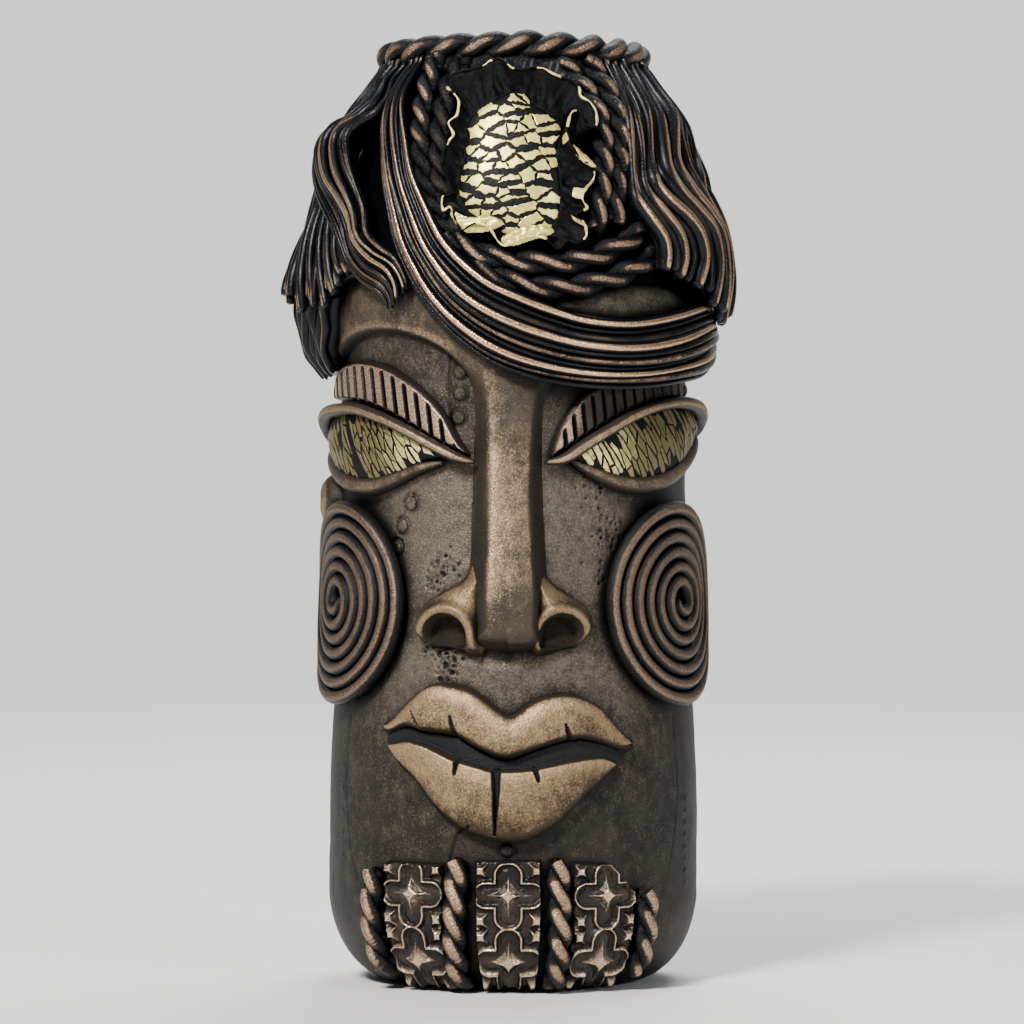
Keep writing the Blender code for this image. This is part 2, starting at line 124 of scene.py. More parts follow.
def smooth_curve(points, per_span=8, closed=False):
    """The Catmull-Rom curve through the points, with a fixed number of steps for each span."""
    knots = np.array(points, dtype=float)
    if closed:
        knots = np.vstack([knots[-1:], knots, knots[:2]])
    else:
        knots = np.vstack([2 * knots[0] - knots[1], knots, 2 * knots[-1] - knots[-2]])
    steps = np.linspace(0.0, 1.0, per_span, endpoint=False)[:, None]
    pieces = []
    for i in range(1, len(knots) - 2):
        a, b, c, d = knots[i - 1:i + 3]
        pieces.append(
            0.5 * (2 * b + (c - a) * steps + (2 * a - 5 * b + 4 * c - d) * steps ** 2
                   + (3 * b - a - 3 * c + d) * steps ** 3)
        )
    if not closed:
        pieces.append(knots[-2][None, :])
    return np.vstack(pieces)


def even_curve(points, count):
    """Evenly spaced points on the smooth curve through the given ones."""
    fine = smooth_curve(points, 16)
    run = np.concatenate([[0.0], np.cumsum(np.linalg.norm(np.diff(fine, axis=0), axis=1))])
    places = np.linspace(0.0, run[-1], count)
    return np.stack([np.interp(places, run, fine[:, k]) for k in range(fine.shape[1])], axis=1)


def line_distance(x, y, line):
    """Distance from (x, y) to a polyline, in its own units."""
    best = np.full(np.shape(x), 1e9)
    for a, b in zip(line[:-1], line[1:]):
        span = b - a
        along = ((x - a[0]) * span[0] + (y - a[1]) * span[1]) / max(1e-9, span @ span)
        along = np.clip(along, 0.0, 1.0)
        away = np.hypot(x - a[0] - along * span[0], y - a[1] - along * span[1])
        best = np.minimum(best, away)
    return best


def is_inside(x, y, ring):
    """Which places lie inside a closed ring."""
    inside = np.zeros(np.shape(x), dtype=bool)
    for a, b in zip(ring, np.roll(ring, -1, axis=0)):
        crosses = (a[1] > y) != (b[1] > y)
        rise = b[1] - a[1] if b[1] != a[1] else 1e-9
        inside ^= crosses & (x < a[0] + (y - a[1]) * (b[0] - a[0]) / rise)
    return inside


def depth_inside(x, y, ring):
    """Distance inside a closed ring, negative outside it."""
    away = line_distance(x, y, np.vstack([ring, ring[:1]]))
    return np.where(is_inside(x, y, ring), away, -away)


def flat_ring(outline, smooth=True):
    """A closed outline of (azimuth, level) as a ring in flat millimetres."""
    ring = smooth_curve(outline, 6, closed=True) if smooth else np.array(outline, dtype=float)
    return ring * [DEGREE_MM, 1.0]


def flat_line(points):
    """An open line of (azimuth, level) as a smooth one in flat millimetres."""
    return smooth_curve(points, 6) * [DEGREE_MM, 1.0]


def waves(x, y, size, seed):
    """Smooth noise from about -1 to 1, for a whole array of places."""
    flat = [noise.noise(Vector((px / size, py / size, seed)))
            for px, py in zip(np.ravel(x), np.ravel(y))]
    return np.array(flat).reshape(np.shape(x))


# Meshes


def make_piece(name, points, faces, material, rub=None):
    """A smooth mesh object riding on the mug, never below the floor. rub says where the bronze is
    rubbed on; on some pieces it also carries painted highlight and painted shade."""
    points = np.array(points)
    points[:, 2] = np.maximum(points[:, 2], 0.0)
    mesh = bpy.data.meshes.new(name)
    mesh.from_pydata(points.tolist(), [], faces)
    mesh.validate()
    mesh.shade_smooth()
    values = np.ones(len(mesh.vertices)) if rub is None else np.clip(rub, 0.0, 1.0)
    layer = mesh.attributes.new("rub", "FLOAT", "POINT")
    layer.data.foreach_set("value", values.astype(np.float32))
    mesh.materials.append(material)
    piece = bpy.data.objects.new(name, mesh)
    bpy.context.scene.collection.objects.link(piece)
    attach(piece, "root")
    return piece


def finish_piece(piece, slot, *nodes):
    """Hide the CAD nodes that the piece stands for, if any. slot, its finish, is not used."""
    if nodes:
        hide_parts(*nodes)


def grid_quads(rows, columns, start=0, around=False, over=False):
    """Quads of a grid of points, row by row. around joins its last column to its first, and over its
    last row."""
    r = np.arange(rows if over else rows - 1)
    c = np.arange(columns if around else columns - 1)
    r, c = np.meshgrid(r, c, indexing="ij")
    r2, c2 = (r + 1) % rows, (c + 1) % columns
    quads = np.stack([r * columns + c, r * columns + c2, r2 * columns + c2, r2 * columns + c], -1)
    return (quads.reshape(-1, 4) + start).tolist()


def edge_drop(depth):
    """How far a piece's surface drops just past its edge."""
    return 0.3 * (depth < 0)


def relief(name, outline, lift, material, step=0.26, skirt=-0.7, smooth=True, rub=None):
    """A closed clay piece laid on the skin. lift(x, level, depth) gives its surface in flat
    millimetres, rub its bronze, with painted highlight and painted shade in it on some pieces, and
    skirt is the lift of its underside, sunk in the skin."""
    ring = flat_ring(outline, smooth)
    margin = 3.0 * step
    low, high = ring.min(axis=0) - margin, ring.max(axis=0) + margin
    x = np.arange(low[0], high[0] + step, step)
    y = np.arange(low[1], high[1] + step, step)
    y = y[y < NECK_TOP]
    x, y = np.meshgrid(x, y)
    depth = depth_inside(x, y, ring)
    surface = np.maximum(lift(x, y, depth), skirt + 0.05)
    keep = depth > -2.0 * step
    cells = keep[:-1, :-1] & keep[1:, :-1] & keep[:-1, 1:] & keep[1:, 1:]
    count = x.size
    index = np.arange(count).reshape(x.shape)
    corner = [index[:-1, :-1], index[:-1, 1:], index[1:, 1:], index[1:, :-1]]
    top = np.stack([c[cells] for c in corner], axis=-1)
    bottom = top[:, ::-1] + count
    edges = np.concatenate([np.stack([top[:, k], top[:, (k + 1) % 4]], -1) for k in range(4)])
    codes = edges[:, 0] * (2 * count) + edges[:, 1]
    back = edges[:, 1] * (2 * count) + edges[:, 0]
    border = edges[~np.isin(codes, back)]
    sides = np.stack([border[:, 1], border[:, 0], border[:, 0] + count, border[:, 1] + count], -1)
    quads = np.vstack([top, bottom, sides])
    used, quads = np.unique(quads, return_inverse=True)
    quads = quads.reshape(-1, 4)
    azimuth = x / DEGREE_MM
    points = np.concatenate([
        on_skin(azimuth, y, surface).reshape(-1, 3),
        on_skin(azimuth, y, skirt).reshape(-1, 3),
    ])[used]
    weight = None
    if rub is not None:
        weight = np.concatenate([rub(x, y, depth).ravel(), np.zeros(count)])[used]
    return make_piece(name, points, quads.tolist(), material, weight)


def rise(t):
    """From 0 to 1 as t does, as a quarter of a round."""
    return np.sqrt(np.clip(1.0 - (1.0 - np.clip(t, 0.0, 1.0)) ** 2, 0.0, 1.0))


def rounded(depth, width):
    """From 0 at an edge to 1 at a width inside it, as a quarter of a round, with a short foot."""
    return rise((depth + 0.1) / width) * smoothstep(-0.25, 0.35, depth)


def strand_shell(path, outs, half_width, half_height, sides, closed=False):
    """Points and faces of one strand: an elliptical tube along world points, with the outward side
    of each ring given."""
    count = len(path)
    if closed:
        tangent = np.roll(path, -1, axis=0) - np.roll(path, 1, axis=0)
    else:
        tangent = np.gradient(path, axis=0)
    tangent /= np.linalg.norm(tangent, axis=1)[:, None]
    up = outs - tangent * np.sum(outs * tangent, axis=1)[:, None]
    up /= np.linalg.norm(up, axis=1)[:, None]
    side = np.cross(tangent, up)
    wide = np.broadcast_to(half_width, count) * MM
    tall = np.broadcast_to(half_height, count) * MM
    turn = np.linspace(0.0, math.tau, sides, endpoint=False)
    rings = (path[:, None, :]
             + np.cos(turn)[None, :, None] * (up * tall[:, None])[:, None, :]
             + np.sin(turn)[None, :, None] * (side * wide[:, None])[:, None, :])
    points = rings.reshape(-1, 3)
    if closed:
        return points, grid_quads(count, sides, around=True, over=True)
    faces = grid_quads(count, sides, around=True)
    faces.append(list(range(sides))[::-1])
    faces.append(list(range((count - 1) * sides, count * sides)))
    return points, faces


def join_shells(shells, rubs):
    """One mesh from many shells, with a rub weight for each shell or for each of its points."""
    points = []
    faces = []
    weights = []
    start = 0
    for (shell_points, shell_faces), rub in zip(shells, rubs):
        points.append(shell_points)
        faces.extend([[i + start for i in face] for face in shell_faces])
        start += len(shell_points)
        weights.append(np.broadcast_to(rub, len(shell_points)))
    return np.vstack(points), faces, np.concatenate(weights)


def taper(count, start, end, run):
    """Widths along a strand that narrow to the given shares at its two ends, rounded off."""
    t = np.linspace(0.0, 1.0, count)
    first = start + (1.0 - start) * rise(t / run)
    last = end + (1.0 - end) * rise((1 - t) / run)
    return first * last


def laid_shell(route, half_width, half_height, count, ends, run, sides):
    """One strand along (azimuth, level, lift), with its widths and heights as lists along the route."""
    path = even_curve(route, count)
    t = np.linspace(0, 1, count)
    wide = np.interp(t, np.linspace(0, 1, len(half_width)), half_width)
    tall = np.interp(t, np.linspace(0, 1, len(half_height)), half_height)
    share = taper(count, *ends, run)
    outs = outward(path[:, 0], path[:, 1])
    return strand_shell(on_skin(*path.T), outs, wide * share, tall * share, sides)


def twisted_shells(route, wind, strand, turn_mm, flat, count, start):
    """Two strands wound round a route of (azimuth, level, lift), and how far in front each point is:
    wind and strand are the radii of the winding and of a strand, and flat squashes both."""
    sides = 12
    path = even_curve(route, count)
    centre = on_skin(*path.T)
    outs = outward(path[:, 0], path[:, 1])
    run = np.concatenate([[0.0], np.cumsum(np.linalg.norm(np.diff(centre, axis=0), axis=1))]) / MM
    tangent = np.gradient(centre, axis=0)
    tangent /= np.linalg.norm(tangent, axis=1)[:, None]
    side = np.cross(tangent, outs)
    shells = []
    fronts = []
    for k in range(2):
        phase = start + math.tau * (run / turn_mm + k / 2)
        offset = (np.cos(phase) * flat)[:, None] * outs + np.sin(phase)[:, None] * side
        ribs = 1.0 + 0.02 * np.sin(run * math.tau / 0.75 + 2.0 * np.sin(run * 1.7 + k))
        wide = strand * ribs
        tall = wide * (0.5 + 0.5 * flat)
        shells.append(strand_shell(centre + offset * wind * MM, outs, wide, tall, sides))
        fronts.append(np.repeat(smoothstep(-0.35, 0.55, np.cos(phase)), sides))
    return shells, fronts


# Materials


class Nodes:
    """A short way to write a material's nodes."""

    def __init__(self, name):
        self.material = bpy.data.materials.new(name)
        self.material.use_nodes = True
        self.tree = self.material.node_tree
        self.shader = self.tree.nodes["Principled BSDF"]
        self.place = self.add("ShaderNodeTexCoord").outputs["Object"]

    def add(self, kind, **settings):
        node = self.tree.nodes.new(kind)
        for key, value in settings.items():
            setattr(node, key, value)
        return node

    def plug(self, socket, value):
        if isinstance(value, bpy.types.NodeSocket):
            self.tree.links.new(value, socket)
        else:
            socket.default_value = value

    def math(self, operation, first, second):
        node = self.add("ShaderNodeMath", operation=operation)
        self.plug(node.inputs[0], first)
        self.plug(node.inputs[1], second)
        return node.outputs[0]

    def times(self, first, second):
        return self.math("MULTIPLY", first, second)

    def plus(self, first, second):
        return self.math("ADD", first, second)

    def sway(self, value, amount):
        """A value round a half, such as a noise, made into one round zero."""
        return self.times(self.math("SUBTRACT", value, 0.5), amount)

    def noise(self, size_mm, detail=3.0, rough=0.55, stretch=(1, 1, 1)):
        mapping = self.add("ShaderNodeMapping")
        self.plug(mapping.inputs["Vector"], self.place)
        mapping.inputs["Scale"].default_value = stretch
        node = self.add("ShaderNodeTexNoise")
        self.plug(node.inputs["Vector"], mapping.outputs["Vector"])
        node.inputs["Scale"].default_value = 1.0 / (size_mm * MM)
        node.inputs["Detail"].default_value = detail
        node.inputs["Roughness"].default_value = rough
        return node.outputs["Fac"]

    def ramp(self, value, low, high):
        node = self.add("ShaderNodeMapRange", interpolation_type="SMOOTHSTEP", clamp=True)
        self.plug(node.inputs["Value"], value)
        node.inputs["From Min"].default_value = low
        node.inputs["From Max"].default_value = high
        return node.outputs["Result"]

    def mix(self, share, first, second):
        node = self.add("ShaderNodeMix", data_type="RGBA")
        self.plug(node.inputs[0], share)
        colour_sockets = node.inputs[6:8]
        for socket, colour in zip(colour_sockets, (first, second)):
            self.plug(socket, colour if isinstance(colour, bpy.types.NodeSocket) else (*colour, 1))
        return node.outputs[2]

    def bump(self, heights):
        """Bumps from (height, distance in mm, strength), each on top of the one before."""
        normal = None
        for height, distance, strength in heights:
            node = self.add("ShaderNodeBump")
            self.plug(node.inputs["Height"], height)
            node.inputs["Distance"].default_value = distance * MM
            node.inputs["Strength"].default_value = strength
            if normal is not None:
                self.plug(node.inputs["Normal"], normal)
            normal = node.outputs["Normal"]
        self.plug(self.shader.inputs["Normal"], normal)

    def occlusion(self, distance_mm):
        node = self.add("ShaderNodeAmbientOcclusion", samples=8)
        node.inputs["Distance"].default_value = distance_mm * MM
        return node.outputs["AO"]

    def facing(self):
        """How much the surface faces away from the jar's axis."""
        flat = self.add("ShaderNodeVectorMath", operation="MULTIPLY")
        self.plug(flat.inputs[0], self.place)
        flat.inputs[1].default_value = (1.0, 1.0, 0.0)
        unit = self.add("ShaderNodeVectorMath", operation="NORMALIZE")
        self.plug(unit.inputs[0], flat.outputs["Vector"])
        dot = self.add("ShaderNodeVectorMath", operation="DOT_PRODUCT")
        self.plug(dot.inputs[0], unit.outputs["Vector"])
        self.plug(dot.inputs[1], self.add("ShaderNodeNewGeometry").outputs["Normal"])
        return dot.outputs["Value"]

    def rubbed(self):
        return self.add("ShaderNodeAttribute", attribute_name="rub").outputs["Fac"]


def rubbed_and_shaded_clay(name, hollow, body, bright, face_range, ao_range, ao_mm, rough, metal, grain=1.0,
                gloss=0.35, shine=0.08, edge=0.6, coat=0.0):
    """Dark clay with bronze rubbed over what stands out: hollow, body and bright are its colours in
    the grooves, on plain faces and on the rubbed tops, and edge dims its glancing reflections. The
    groove colour is painted shade where ambient occlusion finds a recess; the base also turns to it
    where rub is low. The pale specks are grain with painted sparkle highlights."""
    n = Nodes(name)
    open_sky = n.ramp(n.occlusion(ao_mm), *ao_range)
    tops = n.ramp(n.facing(), *face_range)
    patches = n.noise(9.0, 4.0, 0.6)
    speckle = n.noise(0.42, 2.0, 0.7)
    smear = n.noise(2.2, 5.0, 0.65, stretch=(1, 1, 0.8))
    wear = n.times(tops, n.times(open_sky, n.rubbed()))
    uneven = n.plus(n.sway(smear, 0.7), n.sway(speckle, 0.7))
    bronze = n.ramp(n.plus(wear, n.times(uneven, n.ramp(wear, 0.0, 0.4))), 0.3, 1.0)
    # painted shade: the base darkens to the groove colour in recesses found by ambient occlusion
    base = n.mix(n.ramp(n.plus(open_sky, n.times(speckle, 0.25)), 0.1, 0.95), hollow, body)
    base = n.mix(n.ramp(n.rubbed(), 0.0, 0.25), hollow, base)
    cloud = n.times(n.ramp(patches, 0.35, 0.7), n.times(wear, 0.3))
    colour = n.mix(bronze, n.mix(cloud, base, bright), bright)
    dark = tuple(c * 0.36 for c in bright)
    colour = n.mix(n.times(n.ramp(speckle, 0.49, 0.3), n.times(bronze, 0.75)), colour, dark)
    # pale specks: grain of the bronze powder with painted sparkle highlights
    pale = tuple(min(1.0, c * 2.0) for c in bright)
    fleck_and_sparkle = n.times(n.ramp(speckle, 0.56, 0.74), n.times(bronze, 0.45))
    n.plug(n.shader.inputs["Base Color"], n.mix(fleck_and_sparkle, colour, pale))
    n.plug(n.shader.inputs["Metallic"], n.times(n.plus(0.3, n.times(bronze, 0.7)), metal))
    dull = n.plus(n.plus(rough, n.sway(patches, 0.16)), n.sway(speckle, 0.2))
    n.plug(n.shader.inputs["Roughness"], n.math("SUBTRACT", dull, n.times(bronze, shine)))
    n.shader.inputs["Specular IOR Level"].default_value = gloss
    n.shader.inputs["Specular Tint"].default_value = (edge, edge, edge, 1.0)
    if coat:
        n.shader.inputs["Coat Weight"].default_value = coat
        n.shader.inputs["Coat Roughness"].default_value = 0.22
    n.bump([(n.noise(1.6, 4.0, 0.6), 0.07 * grain, 0.5), (speckle, 0.15 * grain, 0.9)])
    return n.material


def gold_leaf(name, deep, pale, worn, metal=0.55):
    """Thin beaten gold, finely wrinkled, with worn specks from a noise level of worn up. It is brown
    where its rub weight is low."""
    n = Nodes(name)
    wrinkle = n.noise(1.1, 5.0, 0.7)
    specks = n.noise(0.35, 3.0, 0.7)
    colour = n.mix(n.ramp(wrinkle, 0.3, 0.7), deep, pale)
    brown = tuple(c * s for c, s in zip(deep, (0.17, 0.16, 0.2)))
    colour = n.mix(n.rubbed(), brown, colour)
    colour = n.mix(n.ramp(specks, worn, worn + 0.12), colour, (0.1, 0.06, 0.02))
    n.plug(n.shader.inputs["Base Color"], colour)
    n.shader.inputs["Metallic"].default_value = metal
    n.plug(n.shader.inputs["Roughness"], n.plus(0.26, n.times(wrinkle, 0.25)))
    n.bump([(wrinkle, 0.1, 0.5), (specks, 0.03, 0.5)])
    return n.material


def slate_clay(name, dark, pale, shine):
    """Smooth black clay under the leaf, with a soft sheen."""
    n = Nodes(name)
    mottle = n.noise(1.4, 4.0, 0.6)
    n.plug(n.shader.inputs["Base Color"], n.mix(n.ramp(mottle, 0.3, 0.75), dark, pale))
    n.plug(n.shader.inputs["Roughness"], n.plus(0.42, n.times(mottle, 0.2)))
    n.shader.inputs["Specular IOR Level"].default_value = shine
    n.bump([(mottle, 0.1, 0.5), (n.noise(0.25, 2.0), 0.03, 0.5)])
    return n.material


def clear_glass(name):
    """Thick, slightly uneven glass."""
    n = Nodes(name)
    ripple = n.noise(14.0, 2.0)
    n.plug(n.shader.inputs["Base Color"],
           n.mix(n.ramp(ripple, 0.2, 0.8), (0.90, 0.95, 0.93), (0.95, 0.98, 0.97)))
    n.shader.inputs["Transmission Weight"].default_value = 0.9
    n.plug(n.shader.inputs["Roughness"], n.times(ripple, 0.12))
    n.bump([(ripple, 0.2, 0.3)])
    return n.material


def frill_clay(name):
    """Torn black sheet, with gold where rub says."""
    n = Nodes(name)
    mottle = n.noise(1.2, 4.0, 0.6)
    black = n.mix(n.ramp(mottle, 0.3, 0.75), (0.0008, 0.0009, 0.0012), (0.0035, 0.0038, 0.005))
    wrinkle = n.noise(0.6, 4.0, 0.7)
    leaf = n.mix(n.ramp(wrinkle, 0.3, 0.7), (0.7, 0.54, 0.17), (1.0, 0.9, 0.42))
    gold = n.ramp(n.plus(n.rubbed(), n.sway(wrinkle, 0.5)), 0.4, 0.6)
    n.plug(n.shader.inputs["Base Color"], n.mix(gold, black, leaf))
    n.plug(n.shader.inputs["Metallic"], n.times(gold, 0.85))
    n.plug(n.shader.inputs["Roughness"], n.plus(0.42, n.times(mottle, 0.25)))
    n.shader.inputs["Specular IOR Level"].default_value = 0.08
    n.bump([(mottle, 0.3, 0.8), (wrinkle, 0.1, 0.8)])
    return n.material


BLACK = (0.002, 0.0022, 0.0032)
BODY_CLAY = rubbed_and_shaded_clay(
    "body_clay", BLACK, (0.017, 0.0155, 0.0145), (0.145, 0.12, 0.093),
    (0.5, 1.0), (0.25, 0.95), 5.0, 0.46, 0.6, grain=1.5, gloss=0.15, edge=0.2)
BRONZE_CLAY = rubbed_and_shaded_clay(
    "bronze_clay", BLACK, (0.028, 0.023, 0.0185), (0.34, 0.238, 0.142),
    (0.56, 1.0), (0.35, 0.95), 4.0, 0.41, 0.85, grain=1.4, edge=0.4)
LIP_CLAY = rubbed_and_shaded_clay(
    "lip_clay", (0.014, 0.015, 0.019), (0.03, 0.0225, 0.0155), (0.42, 0.288, 0.163),
    (0.5, 1.0), (0.3, 0.9), 4.0, 0.54, 0.85, grain=1.6, gloss=0.2, edge=0.25)
COIL_CLAY = rubbed_and_shaded_clay(
    "coil_clay", BLACK, (0.0085, 0.0075, 0.0078), (0.2, 0.138, 0.096),
    (0.68, 1.0), (0.4, 1.0), 2.0, 0.36, 0.85, grain=1.8, edge=0.5)
HAIR_CLAY = rubbed_and_shaded_clay(
    "hair_clay", BLACK, (0.004, 0.0048, 0.007), (0.7, 0.435, 0.25),
    (0.76, 0.99), (0.4, 1.0), 1.6, 0.3, 0.95, grain=0.8, gloss=0.32, coat=0.07)
WING_CLAY = rubbed_and_shaded_clay(
    "wing_clay", BLACK, (0.03, 0.024, 0.018), (0.26, 0.178, 0.102),
    (0.2, 0.98), (0.3, 0.95), 3.0, 0.52, 0.85, grain=1.5, gloss=0.2, edge=0.25)
CORD_CLAY = rubbed_and_shaded_clay(
    "cord_clay", BLACK, (0.008, 0.0072, 0.0078), (0.4, 0.264, 0.168),
    (0.56, 0.97), (0.35, 0.95), 1.8, 0.34, 0.92, grain=2.6)
ROPE_CLAY = rubbed_and_shaded_clay(
    "rope_clay", BLACK, (0.005, 0.0052, 0.0068), (0.35, 0.22, 0.137),
    (0.8, 1.0), (0.5, 1.0), 2.2, 0.34, 0.92, grain=2.8, shine=0.1)
FAN_CLAY = rubbed_and_shaded_clay(
    "fan_clay", BLACK, (0.018, 0.014, 0.012), (0.56, 0.385, 0.26),
    (0.87, 1.0), (0.45, 0.98), 1.6, 0.34, 0.85)
TILE_CLAY = rubbed_and_shaded_clay(
    "tile_clay", BLACK, (0.014, 0.0115, 0.011), (0.62, 0.46, 0.32),
    (0.3, 0.95), (0.55, 1.0), 1.3, 0.32, 0.9, grain=0.6)
FRILL_CLAY = frill_clay("frill_clay")
GOLD = gold_leaf("gold_leaf", (0.8, 0.67, 0.15), (1.0, 0.96, 0.32), 0.6)
EYE_GOLD = gold_leaf("eye_gold", (0.56, 0.46, 0.13), (1.0, 0.95, 0.44), 0.6, 0.3)
SLATE = slate_clay("slate_clay", (0.004, 0.0042, 0.006), (0.013, 0.0138, 0.019), 0.3)
INK = slate_clay("ink_clay", (0.0012, 0.0013, 0.0018), (0.0045, 0.0048, 0.0062), 0.14)
GLASS = clear_glass("jar_glass")


# The vessel


def turned_shell(profile, columns):
    """Points and faces of a closed solid of revolution, whose profile starts and ends on the axis
    or joins up."""
    profile = np.asarray(profile, dtype=float)
    turn = np.linspace(0.0, math.tau, columns, endpoint=False)
    points = round_axis(profile[:, :1], turn, profile[:, 1:])
    return points.reshape(-1, 3), [face[::-1] for face in grid_quads(len(profile), columns, around=True)]


# Small marks in the skin: raised rings, pricked dots as (centre, spread, number), rows of stitches as
# (azimuth, top, foot, number), and cracks as (line, width, depth).
RINGS = [(-17.5, 131), (-17.5, 126.4), (-18, 121.4), (-35, 103.4), (-38.5, 98.6), (-41, 94)]
PITS = [((-22, 90), 3.4, 44), ((-21, 69.5), 3.8, 56), ((-26, 86.5), 2.4, 16), ((31, 97), 4.6, 30),
        ((-27, 72), 2.4, 12), ((27, 105), 5.5, 16), ((33, 88), 3.0, 12)]
STITCHES = [(-66, 52, 28, 6), (67, 40, 22, 8)]
CRACKS = [
    ([(-20.5, 135), (-21, 129), (-20.5, 121), (-17, 115)], 0.28, 0.45),
    ([(-12, 37), (-16.5, 34.5), (-18.5, 31), (-19.5, 28)], 0.22, 0.5),
    ([(-17, 33), (-14.5, 31)], 0.2, 0.3),
    ([(32, 45.5), (40, 46.5), (52, 49.5)], 0.25, 0.2),
    ([(33, 50), (42, 52.5), (58, 52)], 0.25, 0.16),
    ([(-40, 49), (-41, 42), (-37, 35), (-36, 29)], 0.25, 0.2),
    ([(60, 58), (61, 44), (58, 30), (52, 20)], 0.3, 0.18),
    ([(-62, 58), (-63, 44), (-60, 30), (-54, 22)], 0.3, 0.18),
    ([(-30, 108), (-38, 102), (-44, 93)], 0.3, 0.22),
]
EYE_CENTRES = [(-54, 115.2), (50, 115.6)]
BUTTON = (-2, 30.6)
# Where the hair begins: no bronze is rubbed on the skin above it.
HAIRLINE = [(-170, 142), (-90, 140), (-70, 150), (-45, 156), (-36, 154), (-20, 143), (0, 133), (30, 130),
            (60, 132), (90, 137), (120, 142)]


def skin_relief(azimuth, level):
    """Height of the hand-made surface of the skin above its plain outline."""
    x = azimuth * DEGREE_MM
    lift = 0.18 * waves(x, level, 16.0, 3.0) + 0.09 * waves(x, level, 4.0, 8.0)
    lift += 1.5 * np.exp(-(((azimuth + 3) / 26) ** 2 + ((level - 50) / 9.5) ** 2))
    lift += 0.9 * np.exp(-(((azimuth + 2) / 7) ** 2 + ((level - 68) / 3.5) ** 2))
    for middle, middle_level in EYE_CENTRES:
        lift += 0.9 * np.exp(-(((azimuth - middle) / 30) ** 4 + ((level - middle_level) / 10) ** 4))
    for ring_azimuth, ring_level in RINGS:
        away = np.hypot(x - ring_azimuth * DEGREE_MM, level - ring_level)
        lift += 0.3 * smoothstep(1.6, 1.1, away) - 0.42 * np.exp(-((away - 1.85) / 0.27) ** 2)
    away = np.hypot(x - BUTTON[0] * DEGREE_MM, level - BUTTON[1])
    lift += 0.5 * smoothstep(1.5, 1.0, away) - 0.3 * np.exp(-((away - 1.7) / 0.3) ** 2)
    for line, width, deep in CRACKS:
        lift -= deep * np.exp(-((line_distance(x, level, flat_line(line)) / width) ** 2))
    random = np.random.default_rng(5)
    for (pit_azimuth, pit_level), spread, count in PITS:
        for _ in range(count):
            dx, dy = random.normal(0.0, spread * 0.5, 2)
            size = random.uniform(0.16, 0.34)
            away = np.hypot(x - pit_azimuth * DEGREE_MM - dx, level - pit_level - dy)
            lift -= 0.5 * np.exp(-((away / size) ** 2))
    for stitch_azimuth, top, low, count in STITCHES:
        for stitch_level in np.linspace(top, low, count):
            away = np.hypot(x - stitch_azimuth * DEGREE_MM, level - stitch_level)
            lift += 0.3 * np.exp(-((away / 0.45) ** 2))
    return lift


def make_skin():
    """The clay skin: fine rows and columns where the face is, coarser ones behind."""
    columns = np.concatenate([
        np.linspace(start, end, count, endpoint=False)
        for start, end, count in ((-48, 48, 230), (48, 90, 64), (90, 270, 96), (270, 312, 64))
    ])
    foot = FOOT_ROUND * (1 - np.cos(np.linspace(0.0, math.pi / 2, 34, endpoint=False)))
    rows = np.concatenate([
        foot, np.arange(FOOT_ROUND, 66.0, 0.42), np.arange(66.0, 136.0, 0.32),
        np.arange(136.0, NECK_TOP - 1.2, 1.1), [NECK_TOP - 1.2, NECK_TOP - 0.6],
    ])
    azimuth, level = np.meshgrid(columns, rows)
    around = (azimuth + 180.0) % 360.0 - 180.0
    fade = smoothstep(0.5, 9.0, level) * smoothstep(NECK_TOP - 1.0, 170.0, level)
    outer = on_skin(azimuth, level, skin_relief(around, level) * fade)
    outer[0, :, 2] = 0.0
    turn = np.radians(columns)
    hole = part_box("base_disc")[1].x / MM + 0.3
    bore = NECK_R - WALL
    inner = [(NECK_R - 0.4, NECK_TOP), (bore + 0.5, NECK_TOP), (bore, NECK_TOP - 0.5), (bore, 190.0)]
    inner += [(float(skin_radius(z)) - WALL, z) for z in (184, 172, 160, 140, 106, 70, 44, 20, 9)]
    inner += [(FOOT_R + 1.5, WALL), (hole, WALL), (hole, 0.4), (hole + 0.4, 0.0)]
    points = np.concatenate([outer.reshape(-1, 3)] + [round_axis(r, turn, z) for r, z in inner])
    faces = grid_quads(len(rows) + len(inner), len(columns), around=True, over=True)
    hairline = np.interp(around, *zip(*HAIRLINE), period=360.0)
    bare = smoothstep(1.0, -1.0, level - hairline)
    # more bronze rubbed on the face centre, which is also painted light from above: the skin is darker
    # towards the bottom and the sides
    face_rub_and_top_light = smoothstep(40.0, 74.0, level) * smoothstep(66.0, 34.0, np.abs(around))
    lidded = smoothstep(113.0, 121.0, level) * smoothstep(50.0, 42.0, np.abs(around))
    # painted shade on the sides that face away from the front, and a little on the right (shaded)
    painted_side_shade = 1.0 - 0.45 * smoothstep(58.0, 80.0, np.abs(around))
    shaded = 1.0 - 0.08 * smoothstep(0.0, 20.0, around)
    # worn is the skin's rub weight, with this painted light and painted shade in it; it is also darker over
    # and above the eyes (lidded)
    worn = painted_side_shade * bare * (0.4 + 0.32 * face_rub_and_top_light) * (1.0 - 0.34 * lidded) * shaded
    rub = np.concatenate([worn.ravel(), np.zeros(len(inner) * len(columns))])
    skin = make_piece("clay_body", points, faces, BODY_CLAY, rub)
    finish_piece(skin, "dark_clay", "clay_skin")


